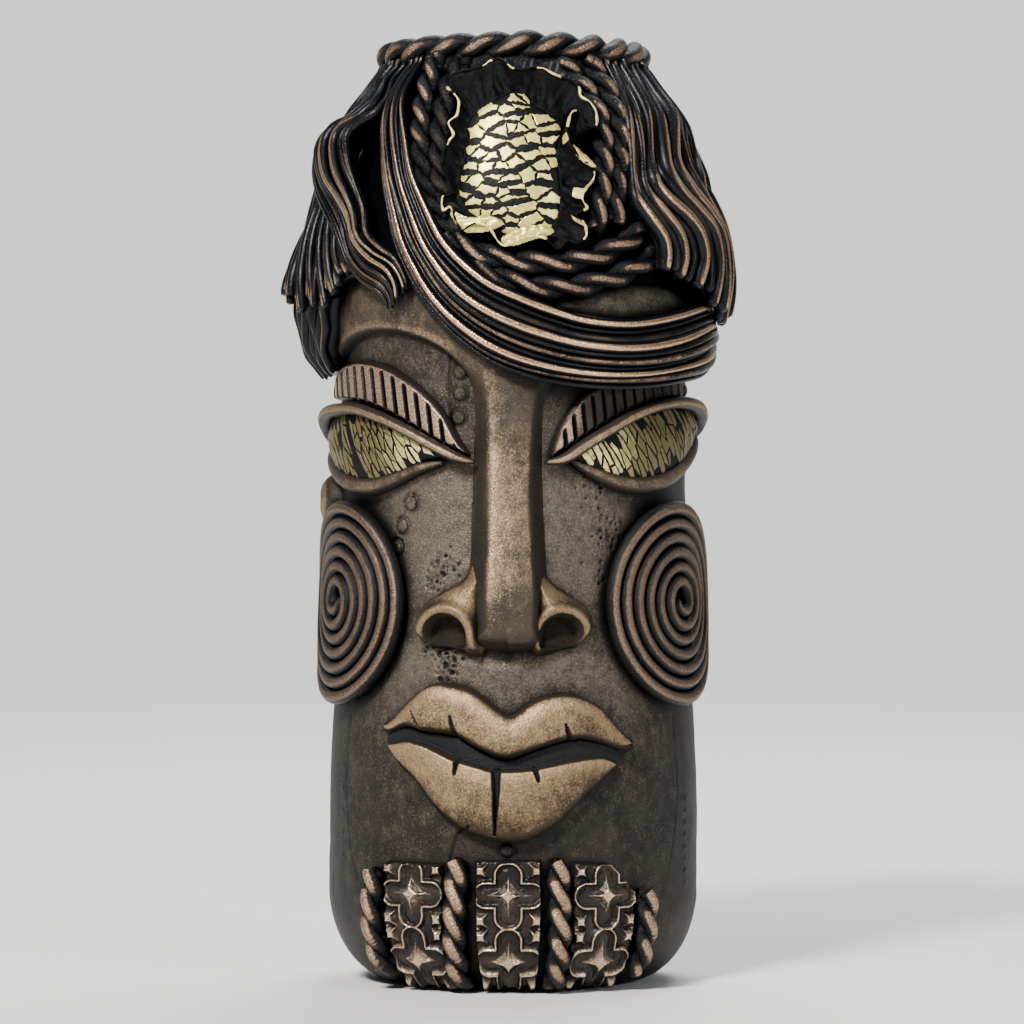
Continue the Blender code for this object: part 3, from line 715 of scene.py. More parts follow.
def make_jar():
    """The glass jar inside the clay, with an even wall and a rounded lip."""
    outside, inside = 3.3, 6.0
    levels = np.linspace(9.0, 186.0, 60)
    outer = [(float(skin_radius(z)) - outside, z) for z in levels]
    inner = [(float(skin_radius(z)) - inside, z) for z in levels[::-1]]
    neck = [(23.0, 190.5), (23.0, 195.0), (22.6, 195.6), (21.8, 195.8), (20.9, 195.6), (JAR_R, 195.0)]
    profile = [(0.0, outside), (24.0, outside), (29.5, 4.2)] + outer + neck + [(JAR_R, 190.0)] + inner
    profile += [(27.5, 6.6), (22.0, inside), (0.0, inside)]
    points, faces = turned_shell(profile[::-1], 128)
    jar = make_piece("inner_jar_glass", points, faces, GLASS)
    finish_piece(jar, "jar_glass", "inner_jar")


def make_base():
    """The disc that closes the underside."""
    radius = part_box("base_disc")[1].x / MM
    profile = [(0.0, WALL), (radius - 0.5, WALL), (radius, 2.5), (radius, 0.6), (radius - 0.6, 0.0),
               (radius * 0.6, 0.0), (0.0, 0.0)]
    points, faces = turned_shell(profile, 128)
    disc = make_piece("base_disc_clay", points, faces, BODY_CLAY)
    finish_piece(disc, "dark_clay", "base_disc")


def make_rim():
    """Two pitted strands twisted into the ring on the mouth, over a dark bed that closes the neck."""
    low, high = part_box("rim_strand_a")
    rim_level = 0.5 * (low.z + high.z) / MM + 1.1
    wind, turns, sides = 1.4, 11, 18
    along = np.linspace(0.0, math.tau, 900, endpoint=False)
    outs = np.stack([np.sin(along), -np.cos(along), 0 * along + 0.2], -1)
    for k, node in enumerate(("rim_strand_a", "rim_strand_b")):
        phase = turns * along + math.pi * k + 0.25 * np.sin(3 * along + 0.6)
        radius = RIM_R + wind * np.cos(phase) + 0.15 * np.sin(5 * along)
        level = rim_level + wind * np.sin(phase) + 0.25 * np.sin(3 * along + 1.0)
        path = round_axis(radius, along, level)
        size = 1.84 + 0.1 * np.sin(along * 7 + k) + 0.08 * np.sin(along * 22.0 + 2.0 * k)
        points, faces = strand_shell(path, outs, size, size * 0.97, sides, closed=True)
        front = 0.75 * np.repeat(smoothstep(-0.4, 0.6, np.cos(phase)), sides)
        strand = make_piece(node.replace("strand", "cord"), points, faces, ROPE_CLAY, front)
        finish_piece(strand, "hair_clay", node)
    profile = [(24.6, 194.6), (28.6, 194.6), (29.0, 196.4), (28.0, 198.6), (26.2, 199.6), (24.6, 198.8)]
    profile.append(profile[0])
    points, faces = turned_shell(profile[::-1], 96)
    bed = make_piece("rim_bed", points, faces, ROPE_CLAY, np.zeros(len(points)))
    finish_piece(bed, "hair_clay")


# The face


def make_brow_and_nose():
    """The sheet that arches over the left eye, and the long nose that grows out of it."""
    outline = [
        (-78, 132.6), (-68, 136.7), (-56, 139.2), (-43, 139.7), (-33, 138.5), (-24, 136),
        (-18, 132.7), (-14.2, 129.3), (-12.8, 125), (-12.4, 120), (-13, 112.4), (-13.4, 104),
        (-13.6, 95.6), (-14, 88), (-14.2, 80), (-13, 74.6), (-9.5, 72.6), (-1.5, 72.2),
        (5.5, 72.6), (9.4, 74.6), (10.6, 80), (10.6, 88), (10.1, 95.6), (9.6, 104), (9.4, 112.4),
        (9.6, 120), (10.6, 125.6), (14, 129.2), (22, 131.6), (34, 132), (52, 131), (74, 130),
        (78, 136), (70, 142), (44, 143), (20, 144), (0, 146), (-20, 149), (-32, 152), (-46, 153.5),
        (-62, 151.5), (-76, 147), (-85, 140), (-84, 134),
    ]

    def lift(x, level, depth):
        down = np.clip((131.0 - level) / 55.0, 0.0, 1.0)
        tip = np.clip((85.0 - level) / 12.5, 0.0, 1.0)
        nose = (2.3 + 6.9 * down ** 1.15) * (1.0 - 0.36 * tip ** 2)
        width = 5.4 - 1.4 * smoothstep(100, 130, level)
        width = np.where(x > -1.0, 0.76 * width, width)
        width = width * (0.42 + 0.58 * smoothstep(72.8, 78.0, level))
        inward = np.clip((depth + 0.15) / width, 0.0, 1.0)
        wall = smoothstep(0.0, 1.0, inward) ** 0.75
        nose = nose * wall * (1.0 - 0.0042 * (x + 2.2) ** 2)
        sheet = 2.3 * rounded(depth, 1.6) + 0.35 * smoothstep(1.0, 6.0, depth)
        on_nose = smoothstep(13.5, 9.0, np.abs(x + 1.0)) * smoothstep(137, 126, level)
        return sheet * (1 - on_nose) + nose * on_nose - 0.35 * (depth < 0)

    def rub(x, level, depth):
        on_nose = smoothstep(15.0, 9.0, np.abs(x + 1.0)) * smoothstep(140, 124, level)
        edge = smoothstep(3.2, 1.2, depth) * smoothstep(133, 137, level)
        bridge = 1.0 - 0.42 * smoothstep(108, 127, level)
        # painted shade: the nose darkens towards its tip, where it curves down
        tip = 1.0 - 0.42 * smoothstep(89, 79, level)
        # painted highlight along the nose's left edge, with painted shade towards its right side
        side = 0.68 + 0.4 * np.exp(-((x + 5.4) / 2.2) ** 2) - 0.2 * smoothstep(2.0, 7.0, x)
        middle = smoothstep(8.0, 0.0, np.abs(x + 6.0)) * (1.0 - on_nose)
        brow = 0.38 + 0.1 * middle + 0.2 * edge
        return brow * (1.0 - on_nose) + 0.8 * bridge * tip * side * on_nose

    piece = relief("brow_and_nose", outline, lift, BRONZE_CLAY, rub=rub)
    finish_piece(piece, "bronze_clay", "forehead_sheet", "nose_ridge")


def make_nostril(name, node, outline, centre, half_width):
    """A wing of the nose: a soft dome that swells into a rounded rim over a smooth bowl."""
    rim_width, hollow_height = 2.9, 4.6

    def past_hollow(x, level):
        dx = x - centre[0] * DEGREE_MM
        above = np.maximum(level - centre[1], 0.0)
        return (np.hypot(dx / half_width, above / hollow_height) - 1.0) * half_width

    def lift(x, level, depth):
        past = past_hollow(x, level)
        wing = 4.5 * rise((depth + 0.1) / 6.5) * smoothstep(-0.3, 0.3, depth)
        wing *= 0.3 + 0.7 * smoothstep(93.0, 85.0, level)
        wing += 1.3 * np.exp(-((past - 0.5 * rim_width) / 1.2) ** 2) * smoothstep(0.0, 1.8, depth)
        floor = 0.6 + 1.0 * smoothstep(76.5, 73.0, level) + 0.12 * waves(x, level, 0.9, 4.0)
        hollow = smoothstep(0.45, -0.75, past) * smoothstep(72.6, 73.6, level)
        return wing * (1 - hollow) + floor * hollow - edge_drop(depth)

    def rub(x, level, depth):
        return 0.1 + 0.84 * smoothstep(-0.5, 0.4, past_hollow(x, level))

    piece = relief(name, outline, lift, WING_CLAY, step=0.22, rub=rub)
    finish_piece(piece, "bronze_clay", node)


def make_nostrils():
    """Both wings of the nose."""
    left = [(-8, 94), (-12.5, 91.5), (-15, 87.6), (-21, 85.2), (-27, 82.9), (-31, 79.4), (-31.3, 76.4),
            (-28, 73.9), (-20, 72.9), (-8, 72.7)]
    right = [(5, 92), (9, 89), (12, 86.6), (17, 84.3), (22.8, 81.6), (25, 78), (22.8, 74.7),
             (17, 73), (5, 72.8)]
    make_nostril("nose_wing_left", "nostril_left", left, (-20.2, 75.2), 4.2)
    make_nostril("nose_wing_right", "nostril_right", right, (13.9, 75.2), 4.2)


LIP_TOP = [(-44.5, 56.4), (-39, 57.6), (-32, 62), (-27, 64.7), (-23, 65.6), (-18, 65.3), (-12, 64.1),
           (-7, 61.6), (-4, 60), (-1, 58.9), (2, 60.2), (7, 62.4), (14, 63.4), (20, 62.8),
           (27, 60.2), (32, 56.4), (39, 52.4)]
LIP_PARTING = [(-44.5, 56.4), (-40, 55), (-33, 56.2), (-27, 55.2), (-21, 54.8), (-16, 54.1),
               (-10, 51.6), (-2, 49.5), (6, 51.4), (12, 52.8), (16, 53.4), (22, 53.5), (32, 51.6),
               (39, 52.4)]
LIP_SHELF = [(-42, 52.4), (-36, 53), (-31, 53.4), (-24, 52.3), (-17, 50.1), (-9, 48.3), (-5, 47.6),
             (4, 47.8), (16, 49.5), (26, 50), (33, 48.4)]
LIP_FOOT = [(-42, 52.4), (-38, 49.5), (-30, 45.2), (-24, 40.4), (-19, 37.1), (-14, 34.8), (-9, 33.4),
            (-4, 32.6), (0, 32.4), (5, 33), (13, 36.5), (18, 39.8), (23, 43), (33, 48.4)]


def closed_from(first, second):
    """One outline from two lines with the same ends."""
    return first + second[::-1][1:-1]


def notch(x, level, line, low_width, high_width):
    """How deep inside a wedge-shaped nick a place is, from 0 outside it to 1."""
    path = flat_line(line)
    span = [path[:, 1].min(), path[:, 1].max()]
    wide = np.interp(level, span, [low_width, high_width])
    return smoothstep(1.3, 0.5, line_distance(x, level, path) / wide)


def make_lips():
    """The upper lip is two pillows that meet under the nose, the lower one a full cushion with cracks
    at its edge."""
    top, parting = flat_line(LIP_TOP), flat_line(LIP_PARTING)
    shelf, foot = flat_line(LIP_SHELF), flat_line(LIP_FOOT)

    def upper(x, level, depth):
        from_top = line_distance(x, level, top)
        from_mouth = line_distance(x, level, parting)
        height = 2.6 + 2.6 * np.clip(1.0 - ((x + 2.0) / 29.0) ** 2, 0.0, 1.0)
        pillow = 0.42 * rounded(from_top, 0.7) + 0.58 * rounded(from_top, 5.5)
        body = height * pillow * (0.25 + 0.75 * rounded(from_mouth, 1.9))
        body += 0.45 * np.exp(-((x + 1.4) / 4.0) ** 2 - ((level - 54.0) / 3.0) ** 2)
        body += 0.07 * waves(x, level, 1.2, 2.0)
        body -= 1.3 * notch(x, level, [(-17.8, 58.6), (-16.4, 54.6)], 0.5, 0.12)
        body -= 1.2 * notch(x, level, [(14.4, 57.0), (15.8, 53.6)], 0.5, 0.12)
        body -= 0.6 * notch(x, level, [(-30.5, 59.5), (-27.5, 56)], 0.3, 0.12)
        return np.where(depth > 0, body, -0.3 + depth)

    def lower(x, level, depth):
        from_shelf = line_distance(x, level, shelf)
        from_foot = line_distance(x, level, foot)
        height = 2.4 + 4.0 * np.clip(1.0 - ((x + 2.0) / 27.0) ** 2, 0.0, 1.0)
        pillow = 0.26 * rounded(from_foot, 0.8) + 0.74 * rounded(from_foot, 11.0)
        body = height * pillow
        below = level < np.interp(x, shelf[:, 0], shelf[:, 1])
        edge = np.where(below, rounded(from_shelf, 1.1), 0.0)
        body = body * (0.4 + 0.6 * edge)
        body -= 2.0 * cuts(x, level) * below
        body += 0.07 * waves(x, level, 1.4, 6.0)
        return np.where(depth > 0, body, -0.3 + depth)

    def cuts(x, level):
        return np.maximum.reduce([
            notch(x, level, [(-4.6, 48), (-4.6, 42), (-4.9, 37.5), (-5.1, 34)], 0.1, 0.78),
            notch(x, level, [(-15.0, 50.2), (-15.8, 46.4)], 0.12, 0.6),
            notch(x, level, [(5.4, 48.6), (6.6, 45.0)], 0.12, 0.55),
            0.5 * notch(x, level, [(-12.5, 35.8), (-14, 34.4)], 0.25, 0.25),
            0.5 * notch(x, level, [(22, 42.5), (18.5, 38.5)], 0.25, 0.3),
        ])

    def lower_rub_and_shading(x, level, depth):
        below = level < np.interp(x, shelf[:, 0], shelf[:, 1]) - 0.15
        # brighter along the upper border, where bronze is rubbed and a highlight is painted; lighter on the
        # left, with painted shade on the right and towards the bottom
        worn = 0.59 + 0.36 * np.exp(-(line_distance(x, level, shelf) / 2.4) ** 2)
        worn += 0.1 * smoothstep(-6.0, -16.0, x) - 0.14 * smoothstep(2.0, 16.0, x)
        worn -= 0.14 * smoothstep(42.0, 34.0, level)
        # above that border the shelf between the lips is painted shade as well as unpolished clay
        return np.where(below, worn * (1.0 - cuts(x, level)), 0.06)

    def upper_rub_and_shading(x, level, depth):
        # painted highlight along the top ridge, painted shade towards the mouth and towards the right end
        ridge = np.exp(-((line_distance(x, level, top) - 1.7) / 1.5) ** 2)
        low = smoothstep(4.0, 0.5, line_distance(x, level, parting))
        return 0.6 + 0.36 * ridge - 0.12 * low - 0.1 * smoothstep(6.0, 20.0, x)

    outline = closed_from(LIP_TOP, LIP_PARTING)
    piece = relief("lip_upper", outline, upper, LIP_CLAY, step=0.24, rub=upper_rub_and_shading)
    finish_piece(piece, "bronze_clay", "upper_lip")
    mouth = [(a, b - 0.1) for a, b in LIP_PARTING]
    outline = [LIP_SHELF[0]] + mouth[1:-1] + [LIP_SHELF[-1]] + LIP_FOOT[::-1][1:-1]
    piece = relief("lip_lower", outline, lower, LIP_CLAY, step=0.24, rub=lower_rub_and_shading)
    finish_piece(piece, "bronze_clay", "lower_lip")


# Each lid's route, and its half widths along it.
LIDS = {
    "upper_lid_left": (
        [(-101, 115.4, 1.0), (-95, 117.0, 2.6), (-88, 120.4, 4.0), (-78, 122.8, 4.3), (-66, 123.5, 4.2),
         (-54, 123.3, 4.0), (-42, 121, 3.8), (-33, 118.4, 3.7), (-24, 115.2, 3.6), (-17, 112.9, 3.6),
         (-11.5, 111.9, 3.3)],
        [0.6, 1.1, 1.35, 1.4, 1.35, 1.25, 1.25, 1.2, 1.25, 1.2, 0.8]),
    "lower_lid_left": (
        [(-98, 116.0, 0.8), (-92, 115.2, 1.8), (-86, 113.4, 2.4), (-76, 110.6, 2.4), (-64, 108, 2.3),
         (-50, 107, 2.2), (-39, 108.6, 2.2), (-30, 110.8, 2.4), (-22, 112, 2.4)],
        [0.6, 1.1, 1.4, 1.7, 1.9, 1.9, 1.6, 1.2, 0.7]),
    "upper_lid_right": (
        [(9.6, 111.8, 3.4), (15.5, 112.7, 3.8), (22, 115.6, 3.7), (29, 118.4, 3.7), (38, 121.6, 3.9),
         (48, 123.9, 4.1), (60, 124.9, 4.3), (74, 124.2, 4.4), (86, 121.6, 4.0), (93, 118.8, 2.8),
         (100, 117.0, 1.0)],
        [0.8, 1.35, 1.3, 1.25, 1.25, 1.25, 1.35, 1.4, 1.3, 1.1, 0.6]),
    "lower_lid_right": (
        [(17.5, 112.8, 2.4), (23.5, 110.4, 2.4), (33, 108, 2.2), (44, 107.2, 2.2), (56, 108.7, 2.3),
         (67, 111.6, 2.4), (78, 115.2, 2.4), (87, 117.6, 2.0), (96, 117.6, 0.8)],
        [0.7, 1.4, 1.8, 1.9, 1.8, 1.6, 1.5, 1.2, 0.6]),
}


def make_lids():
    """The lids are deep bands: their undersides reach down to the skin round the inlay."""
    for node, (route, widths) in LIDS.items():
        sink, deep, worn = (0.8, 1.4, 0.76) if "upper" in node else (0.6, 1.1, 0.48)
        route = [(azimuth, level, lift - sink) for azimuth, level, lift in route]
        tall = [deep * width for width in widths]
        points, faces = laid_shell(route, widths, tall, count=140, ends=(0.3, 0.15), run=0.07, sides=18)
        rub = np.full(len(points), worn)
        piece = make_piece(node.replace("lid", "eyelid"), points, faces, BRONZE_CLAY, rub)
        finish_piece(piece, "bronze_clay", node)


def make_brow_fan(name, node, outline, top_edge, start, side, first_rib, shrink):
    """A fan of ribs that hangs from a smooth rim. From its start in degrees, towards its side, each rib
    is narrower than the one before by the shrink."""
    rim = flat_line(top_edge)

    def lift(x, level, depth):
        azimuth = side * (x / DEGREE_MM - start)
        ribs = np.log(np.clip(1 - azimuth * (1 - shrink) / first_rib, 0.02, 3.0)) / math.log(shrink)
        lean = 0.05 * side * (level - 124)
        wave = np.abs(np.sin(math.pi * (ribs + lean)))
        rib = smoothstep(0.08, 0.6, wave)
        under_rim = smoothstep(0.9, 2.0, line_distance(x, level, rim))
        body = 2.0 * rounded(depth, 1.3)
        return body - 1.15 * under_rim * (1 - rib) * smoothstep(0.3, 1.0, depth) - edge_drop(depth)

    def rub(x, level, depth):
        if side > 0:
            return 0.95 + 0 * x
        # painted shadow under the fringe: the right fan darkens from 16 to 26 degrees on
        return 0.7 - 0.5 * smoothstep(16.0, 26.0, x / DEGREE_MM)

    piece = relief(name, outline, lift, FAN_CLAY, step=0.2, rub=rub)
    finish_piece(piece, "bronze_clay", node)


def make_brow_fans():
    """The two fans between the eyes and the brow."""
    top = [(-84, 126), (-80, 130.4), (-72, 132.8), (-58, 133.9), (-46, 132.8), (-38, 130.6),
           (-29, 126.8), (-22, 122.2), (-17.5, 117), (-14.2, 113.4)]
    low = [(-84, 126), (-70, 125.6), (-54, 124.6), (-44, 122.6), (-34, 119.6), (-25, 116.2),
           (-14.2, 113.4)]
    make_brow_fan("brow_ribs_left", "brow_fan_left", closed_from(top, low), top, -68, 1, 5.2, 0.965)
    top = [(11.5, 112.8), (13, 117.5), (16, 121.4), (20.5, 125.2), (28, 128.6), (40, 131),
           (56, 131.6), (72, 129.5)]
    low = [(11.5, 112.8), (16, 114.2), (24, 117.6), (34, 121.2), (46, 124), (58, 125.4), (72, 126),
           (72, 129.5)]
    make_brow_fan("brow_ribs_right", "brow_fan_right", closed_from(top, low), top, 70, -1, 5.2, 0.965)


def make_coils():
    """Each cheek coil is one long strand wound flat into a spiral."""
    pitch, turns, lift, count, sides = 3.12, 6.95, 2.6, 760, 14
    turn = math.tau * turns * np.sqrt(np.linspace(0.0025, 1.0, count))
    radius = pitch * turn / math.tau + 0.35
    size = (1.57 + 0.05 * np.sin(turn * 1.7)) * taper(count, 0.3, 0.2, 0.012)
    drift = lift + 0.12 * np.sin(turn * 0.7) + 0.5 * smoothstep(12.0, 2.0, radius)
    # the outer turns are lighter: more bronze rubbed on, with a painted highlight
    rub = np.repeat(0.72 + 0.28 * smoothstep(14.0, 20.0, radius), sides)
    for name, node, hand, centre in (("coil_left", "cheek_coil_left", -1, -65.5),
                                     ("coil_right", "cheek_coil_right", 1, 59.5)):
        low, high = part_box(node)
        level = 0.5 * (low.z + high.z) / MM + 0.6
        degree = (skin_radius(level) + lift) * math.radians(1.0)
        azimuth = centre + hand * radius * np.cos(turn + 0.6) / degree
        height = level + radius * np.sin(turn + 0.6)
        points, faces = strand_shell(on_skin(azimuth, height, drift), outward(azimuth, height),
                                     size, size * 1.05, sides)
        piece = make_piece(name, points, faces, COIL_CLAY, rub)
        finish_piece(piece, "bronze_clay", node)


def make_small_plates():
    """The lump behind the left coil, and the lens on the right of the forehead."""
    def pebble(high):
        return lambda x, level, depth: high * rounded(depth, 4.5) - edge_drop(depth)

    ear = [(-80, 104), (-83, 108.6), (-89, 110), (-95, 107.5), (-98, 102.5), (-95, 98), (-86, 99)]
    piece = relief("ear_lump", ear, pebble(4.6), BRONZE_CLAY)
    finish_piece(piece, "bronze_clay", "ear_left")
    lens = [(10, 144.5), (24, 148.6), (44, 150), (62, 149), (74, 146), (60, 141), (44, 140), (26, 140.6)]
    piece = relief("forehead_plate", lens, pebble(2.6), BODY_CLAY, rub=lambda x, level, depth: 0.6 + 0 * x)
    finish_piece(piece, "dark_clay", "forehead_plate_right")


# The chin band


ROW_GAP = 13.4
ARM_HALF = 2.55
ARM_REACH = 4.25
# Each tile's two sides, the levels of its top at them, and the level of its upper row of stars.
CHIN_TILES = {
    "chin_tile_left": (-41, -21, 27.8, 27.8, 21.3),
    "chin_tile_centre": (-11.2, 8.2, 28.6, 28.6, 21.3),
    "chin_tile_right": (17.4, 38.5, 28.2, 21.5, 21.0),
}
# The azimuths of each cord's top and foot, and their levels.
CHIN_CORDS = {
    "outer_left": (-44.6, -47, 25.6, 5.4),
    "inner_left": (-16.2, -18.4, 28.4, 3.2),
    "inner_right": (12.8, 14.2, 28.4, 3.2),
    "outer_right": (41.6, 44, 21.4, 5.4),
}


def tile_pattern(x, level, middle, top_row):
    """Height and bronze of the repeat: a round-armed cross round a four-pointed star, with small stars
    between."""
    row = np.round((top_row - level) / ROW_GAP)
    dx = x - middle
    dy = level - (top_row - row * ROW_GAP)
    across, up = np.abs(dx), np.abs(dy)
    cross = np.minimum(np.hypot(np.maximum(across - ARM_REACH, 0.0), up),
                       np.hypot(across, np.maximum(up - ARM_REACH, 0.0))) - ARM_HALF
    band = np.exp(-((cross / 0.4) ** 2))
    star = np.clip((2.6 - across ** 0.62 - up ** 0.62) / 1.2, 0.0, 1.0)
    u = ((across - 5.5) + (up - 5.1)) / math.sqrt(2)
    v = ((across - 5.5) - (up - 5.1)) / math.sqrt(2)
    small = np.clip((1.95 - np.abs(u) ** 0.62 - np.abs(v) ** 0.62) / 0.9, 0.0, 1.0)
    lens = np.clip(1.0 - (across - 6.2) ** 2 / 0.9 - (up - ROW_GAP / 2) ** 2 / 0.5, 0.0, 1.0)
    dome = 0.25 * smoothstep(-0.5, -2.0, cross)
    gold = np.clip(np.maximum.reduce([band, star ** 0.6, small ** 0.6, 0.6 * lens]), 0.0, 1.0)
    height = np.maximum.reduce([band, 1.35 * star, 1.1 * small, 0.7 * lens, dome])
    return height, gold


def make_chin_tiles():
    """Three stamped tiles, each from its start to its end in degrees, under a top that may slope."""
    for node, (start, end, top_start, top_end, top_row) in CHIN_TILES.items():
        outline = [(start, 2.2), (0.5 * (start + end), 1.9), (end, 2.2), (end + 0.4, 12), (end, top_end)]
        if top_end < top_start:
            outline.append((start + 0.6 * (end - start), top_start - 0.6))
        outline += [(start, top_start), (start - 0.4, 12)]
        middle = 0.5 * (start + end) * DEGREE_MM

        def lift(x, level, depth, middle=middle, top_row=top_row):
            body = 1.35 * rounded(depth, 0.8)
            carved = tile_pattern(x, level, middle, top_row)[0]
            rough = 0.14 * waves(x, level, 0.8, 9.0)
            return body + (1.1 * carved + rough) * smoothstep(0.0, 0.7, depth) - edge_drop(depth)

        def rub(x, level, depth, middle=middle, top_row=top_row):
            return 0.2 + 0.8 * tile_pattern(x, level, middle, top_row)[1]

        name = node.replace("tile", "stamp")
        piece = relief(name, outline, lift, TILE_CLAY, step=0.17, smooth=False, rub=rub)
        finish_piece(piece, "bronze_clay", node)


def make_chin_cords():
    """The twisted cords on both sides of each tile."""
    for name, (top_azimuth, foot_azimuth, top, foot) in CHIN_CORDS.items():
        middle = (0.5 * (top_azimuth + foot_azimuth), 0.5 * (top + foot), 2.2)
        route = [(top_azimuth, top, 2.1), middle, (foot_azimuth, foot, 1.9)]
        shells, fronts = twisted_shells(route, 1.1, 1.62, -12.0, flat=0.8, count=150, start=0.6)
        for side, (points, faces), front in zip("ab", shells, fronts):
            piece = make_piece(f"chin_strand_{name}_{side}", points, faces, CORD_CLAY, front)
            finish_piece(piece, "hair_clay", f"chin_cord_{name}_{side}")


# Gold crackle


def clip_cell(cell, point, normal):
    """The part of a convex cell behind a line."""
    kept = []
    for a, b in zip(cell, np.roll(cell, -1, axis=0)):
        da, db = (a - point) @ normal, (b - point) @ normal
        if da <= 0:
            kept.append(a)
        if da * db < 0:
            kept.append(a + (b - a) * da / (da - db))
    return np.array(kept)


def flake_cells(ring, across, along, angle, gaps, seed, merged):
    """Broken cells over a ring: the cells nearest each seed of a shaken grid, shrunk by half the gap
    between them. across and along are the cells' sizes, angle turns their rows, gaps are the ones
    between cells of a row and between rows, and merged is the share that neighbours swallow."""
    shake = 0.46
    random = np.random.default_rng(seed)
    turn = np.array([[math.cos(angle), -math.sin(angle)], [math.sin(angle), math.cos(angle)]])
    middle = 0.5 * (ring.min(axis=0) + ring.max(axis=0))
    reach = np.linalg.norm(ring.max(axis=0) - ring.min(axis=0)) * 0.62
    seeds = []
    for i, v in enumerate(np.arange(-reach, reach, along)):
        for u in np.arange(-reach + (i % 2) * across / 2, reach, across):
            spot = np.array([u + random.uniform(-shake, shake) * across,
                             v + random.uniform(-shake, shake) * 0.8 * along])
            if random.uniform() >= merged:
                seeds.append(spot)
    seeds = np.array(seeds)
    scale = np.array([along / across, 1.0])
    inside = depth_inside(*(middle + seeds @ turn.T).T, ring) > 0.25
    cells = []
    for index in np.flatnonzero(inside):
        own = seeds[index]
        size = 2.2 * across
        cell = own + np.array([(-size, -size), (size, -size), (size, size), (-size, size)])
        away = np.linalg.norm((seeds - own) * scale, axis=1)
        for other in seeds[(away > 1e-6) & (away < 3.2 * along)]:
            normal = (other - own) * scale ** 2
            normal /= np.linalg.norm(normal)
            gap = gaps[0] + (gaps[1] - gaps[0]) * smoothstep(0.75, 0.95, abs(normal[1]))
            shrink = gap * random.uniform(0.15, 1.75)
            cell = clip_cell(cell, 0.5 * (own + other) - normal * shrink * 0.5, normal)
            if len(cell) < 3:
                break
        if len(cell) >= 3:
            cells.append(middle + cell @ turn.T)
    return cells


def ragged(cell, random, amount):
    """The cell with a broken edge: extra points on its sides, pushed in and out a little."""
    points = []
    for a, b in zip(cell, np.roll(cell, -1, axis=0)):
        length = np.linalg.norm(b - a)
        if length < 0.05:
            continue
        points.append(a)
        side = np.array([b[1] - a[1], a[0] - b[0]]) / length
        steps = int(length / 0.5)
        for k in range(1, steps):
            points.append(a + (b - a) * k / steps - side * random.uniform(0.0, amount))
    return np.array(points)


def make_flakes(name, ring, lift, cells, material, thick=0.16, gold=None, skip=None, missing=0.03,
                rough=0.1):
    """Flakes of leaf on a dome, as thin plates with broken edges. lift gives the dome from the depth
    inside its ring, gold a flake's weight and skip the missing ones, both from its centre."""
    random = np.random.default_rng(cells["seed"] + 1)
    shells = []
    weights = []
    for cell in flake_cells(ring, **cells):
        if random.uniform() < missing:
            continue
        cell = ragged(cell, random, rough)
        if len(cell) < 3:
            continue
        centre = cell.mean(axis=0)
        for _ in range(4):
            outside = depth_inside(cell[:, 0], cell[:, 1], ring) < 0.12
            cell = np.where(outside[:, None], centre + (cell - centre) * 0.7, cell)
        if depth_inside(centre[0], centre[1], ring) < 0.2 or (skip and skip(*centre)):
            continue
        tip = random.uniform(-0.05, 0.05, 2)
        inner, crown = centre + (cell - centre) * 0.9, centre + (cell - centre) * 0.5
        count = len(cell)
        flat = np.vstack([cell, cell, inner, crown, centre])
        above = np.full(len(flat), thick)
        above[:count], above[count:2 * count] = -0.12, 0.7 * thick
        dome = lift(depth_inside(flat[:, 0], flat[:, 1], ring))
        points = on_skin(flat[:, 0] / DEGREE_MM, flat[:, 1], dome + above + (flat - centre) @ tip)
        faces = grid_quads(4, count, around=True)
        faces += [[3 * count + k, 3 * count + (k + 1) % count, 4 * count] for k in range(count)]
        faces.append(list(range(count))[::-1])
        shells.append((points, faces))
        own = 1.0 if gold is None else gold(*centre)
        weights.append(own * random.uniform(0.78, 1.0))
    points, faces, rub = join_shells(shells, weights)
    piece = make_piece(name, points, faces, material, rub)
    piece.data.shade_flat()
    return piece


STONE = [(1.2, 189.4), (6.4, 187), (12, 184.8), (18.4, 183), (16.6, 180), (14.2, 176.4), (15, 171.4),
         (15, 166.6), (13, 161.8), (8.4, 159.4), (1, 158.8), (-4.8, 160), (-11.4, 162.8), (-16.2, 166),
         (-17, 170), (-16, 175.2), (-16, 179.6), (-15.5, 183.6), (-8, 187)]


def stone_lift(depth):
    """The dome of the stone, by the depth inside its edge."""
    return 2.6 + 1.3 * rise(depth / 8.0)


def make_stone():
    """A domed black stone under broken rows of gold leaf."""
    def lift(x, level, depth):
        return stone_lift(depth) * smoothstep(-0.5, 0.5, depth) + 0.08 * waves(x, level, 0.7, 4.0)

    piece = relief("crackle_base", STONE, lift, INK, step=0.25)
    finish_piece(piece, "hair_clay")
    cells = dict(across=3.5, along=2.35, angle=0.05, gaps=(0.3, 1.0), seed=11, merged=0.18)
    flakes = make_flakes("crackle_leaf", flat_ring(STONE), stone_lift, cells, GOLD, missing=0.0, rough=0.34)
    finish_piece(flakes, "gold_leaf", "crackle_panel")


# Each eye's outline, the slant of its rows of flakes in radians, and its random seed.
EYES = {
    "left": ([(-95, 118), (-88, 114.5), (-80, 112.0), (-70, 109.6), (-58, 108), (-47, 108), (-38, 109.4),
              (-29, 112), (-20, 113.2), (-26, 116), (-34, 118.6), (-44, 121.6), (-56, 123.2),
              (-70, 122.8), (-82, 121.6), (-90, 120)], -1.05, 21),
    "right": ([(17, 113.2), (25, 110.6), (35, 108.4), (46, 108.2), (58, 109.8), (69, 112.6), (80, 116.6),
               (92, 119), (84, 122.4), (72, 123.8), (58, 124), (44, 122), (32, 118.6), (24, 115.8)],
              -1.02, 34),
}


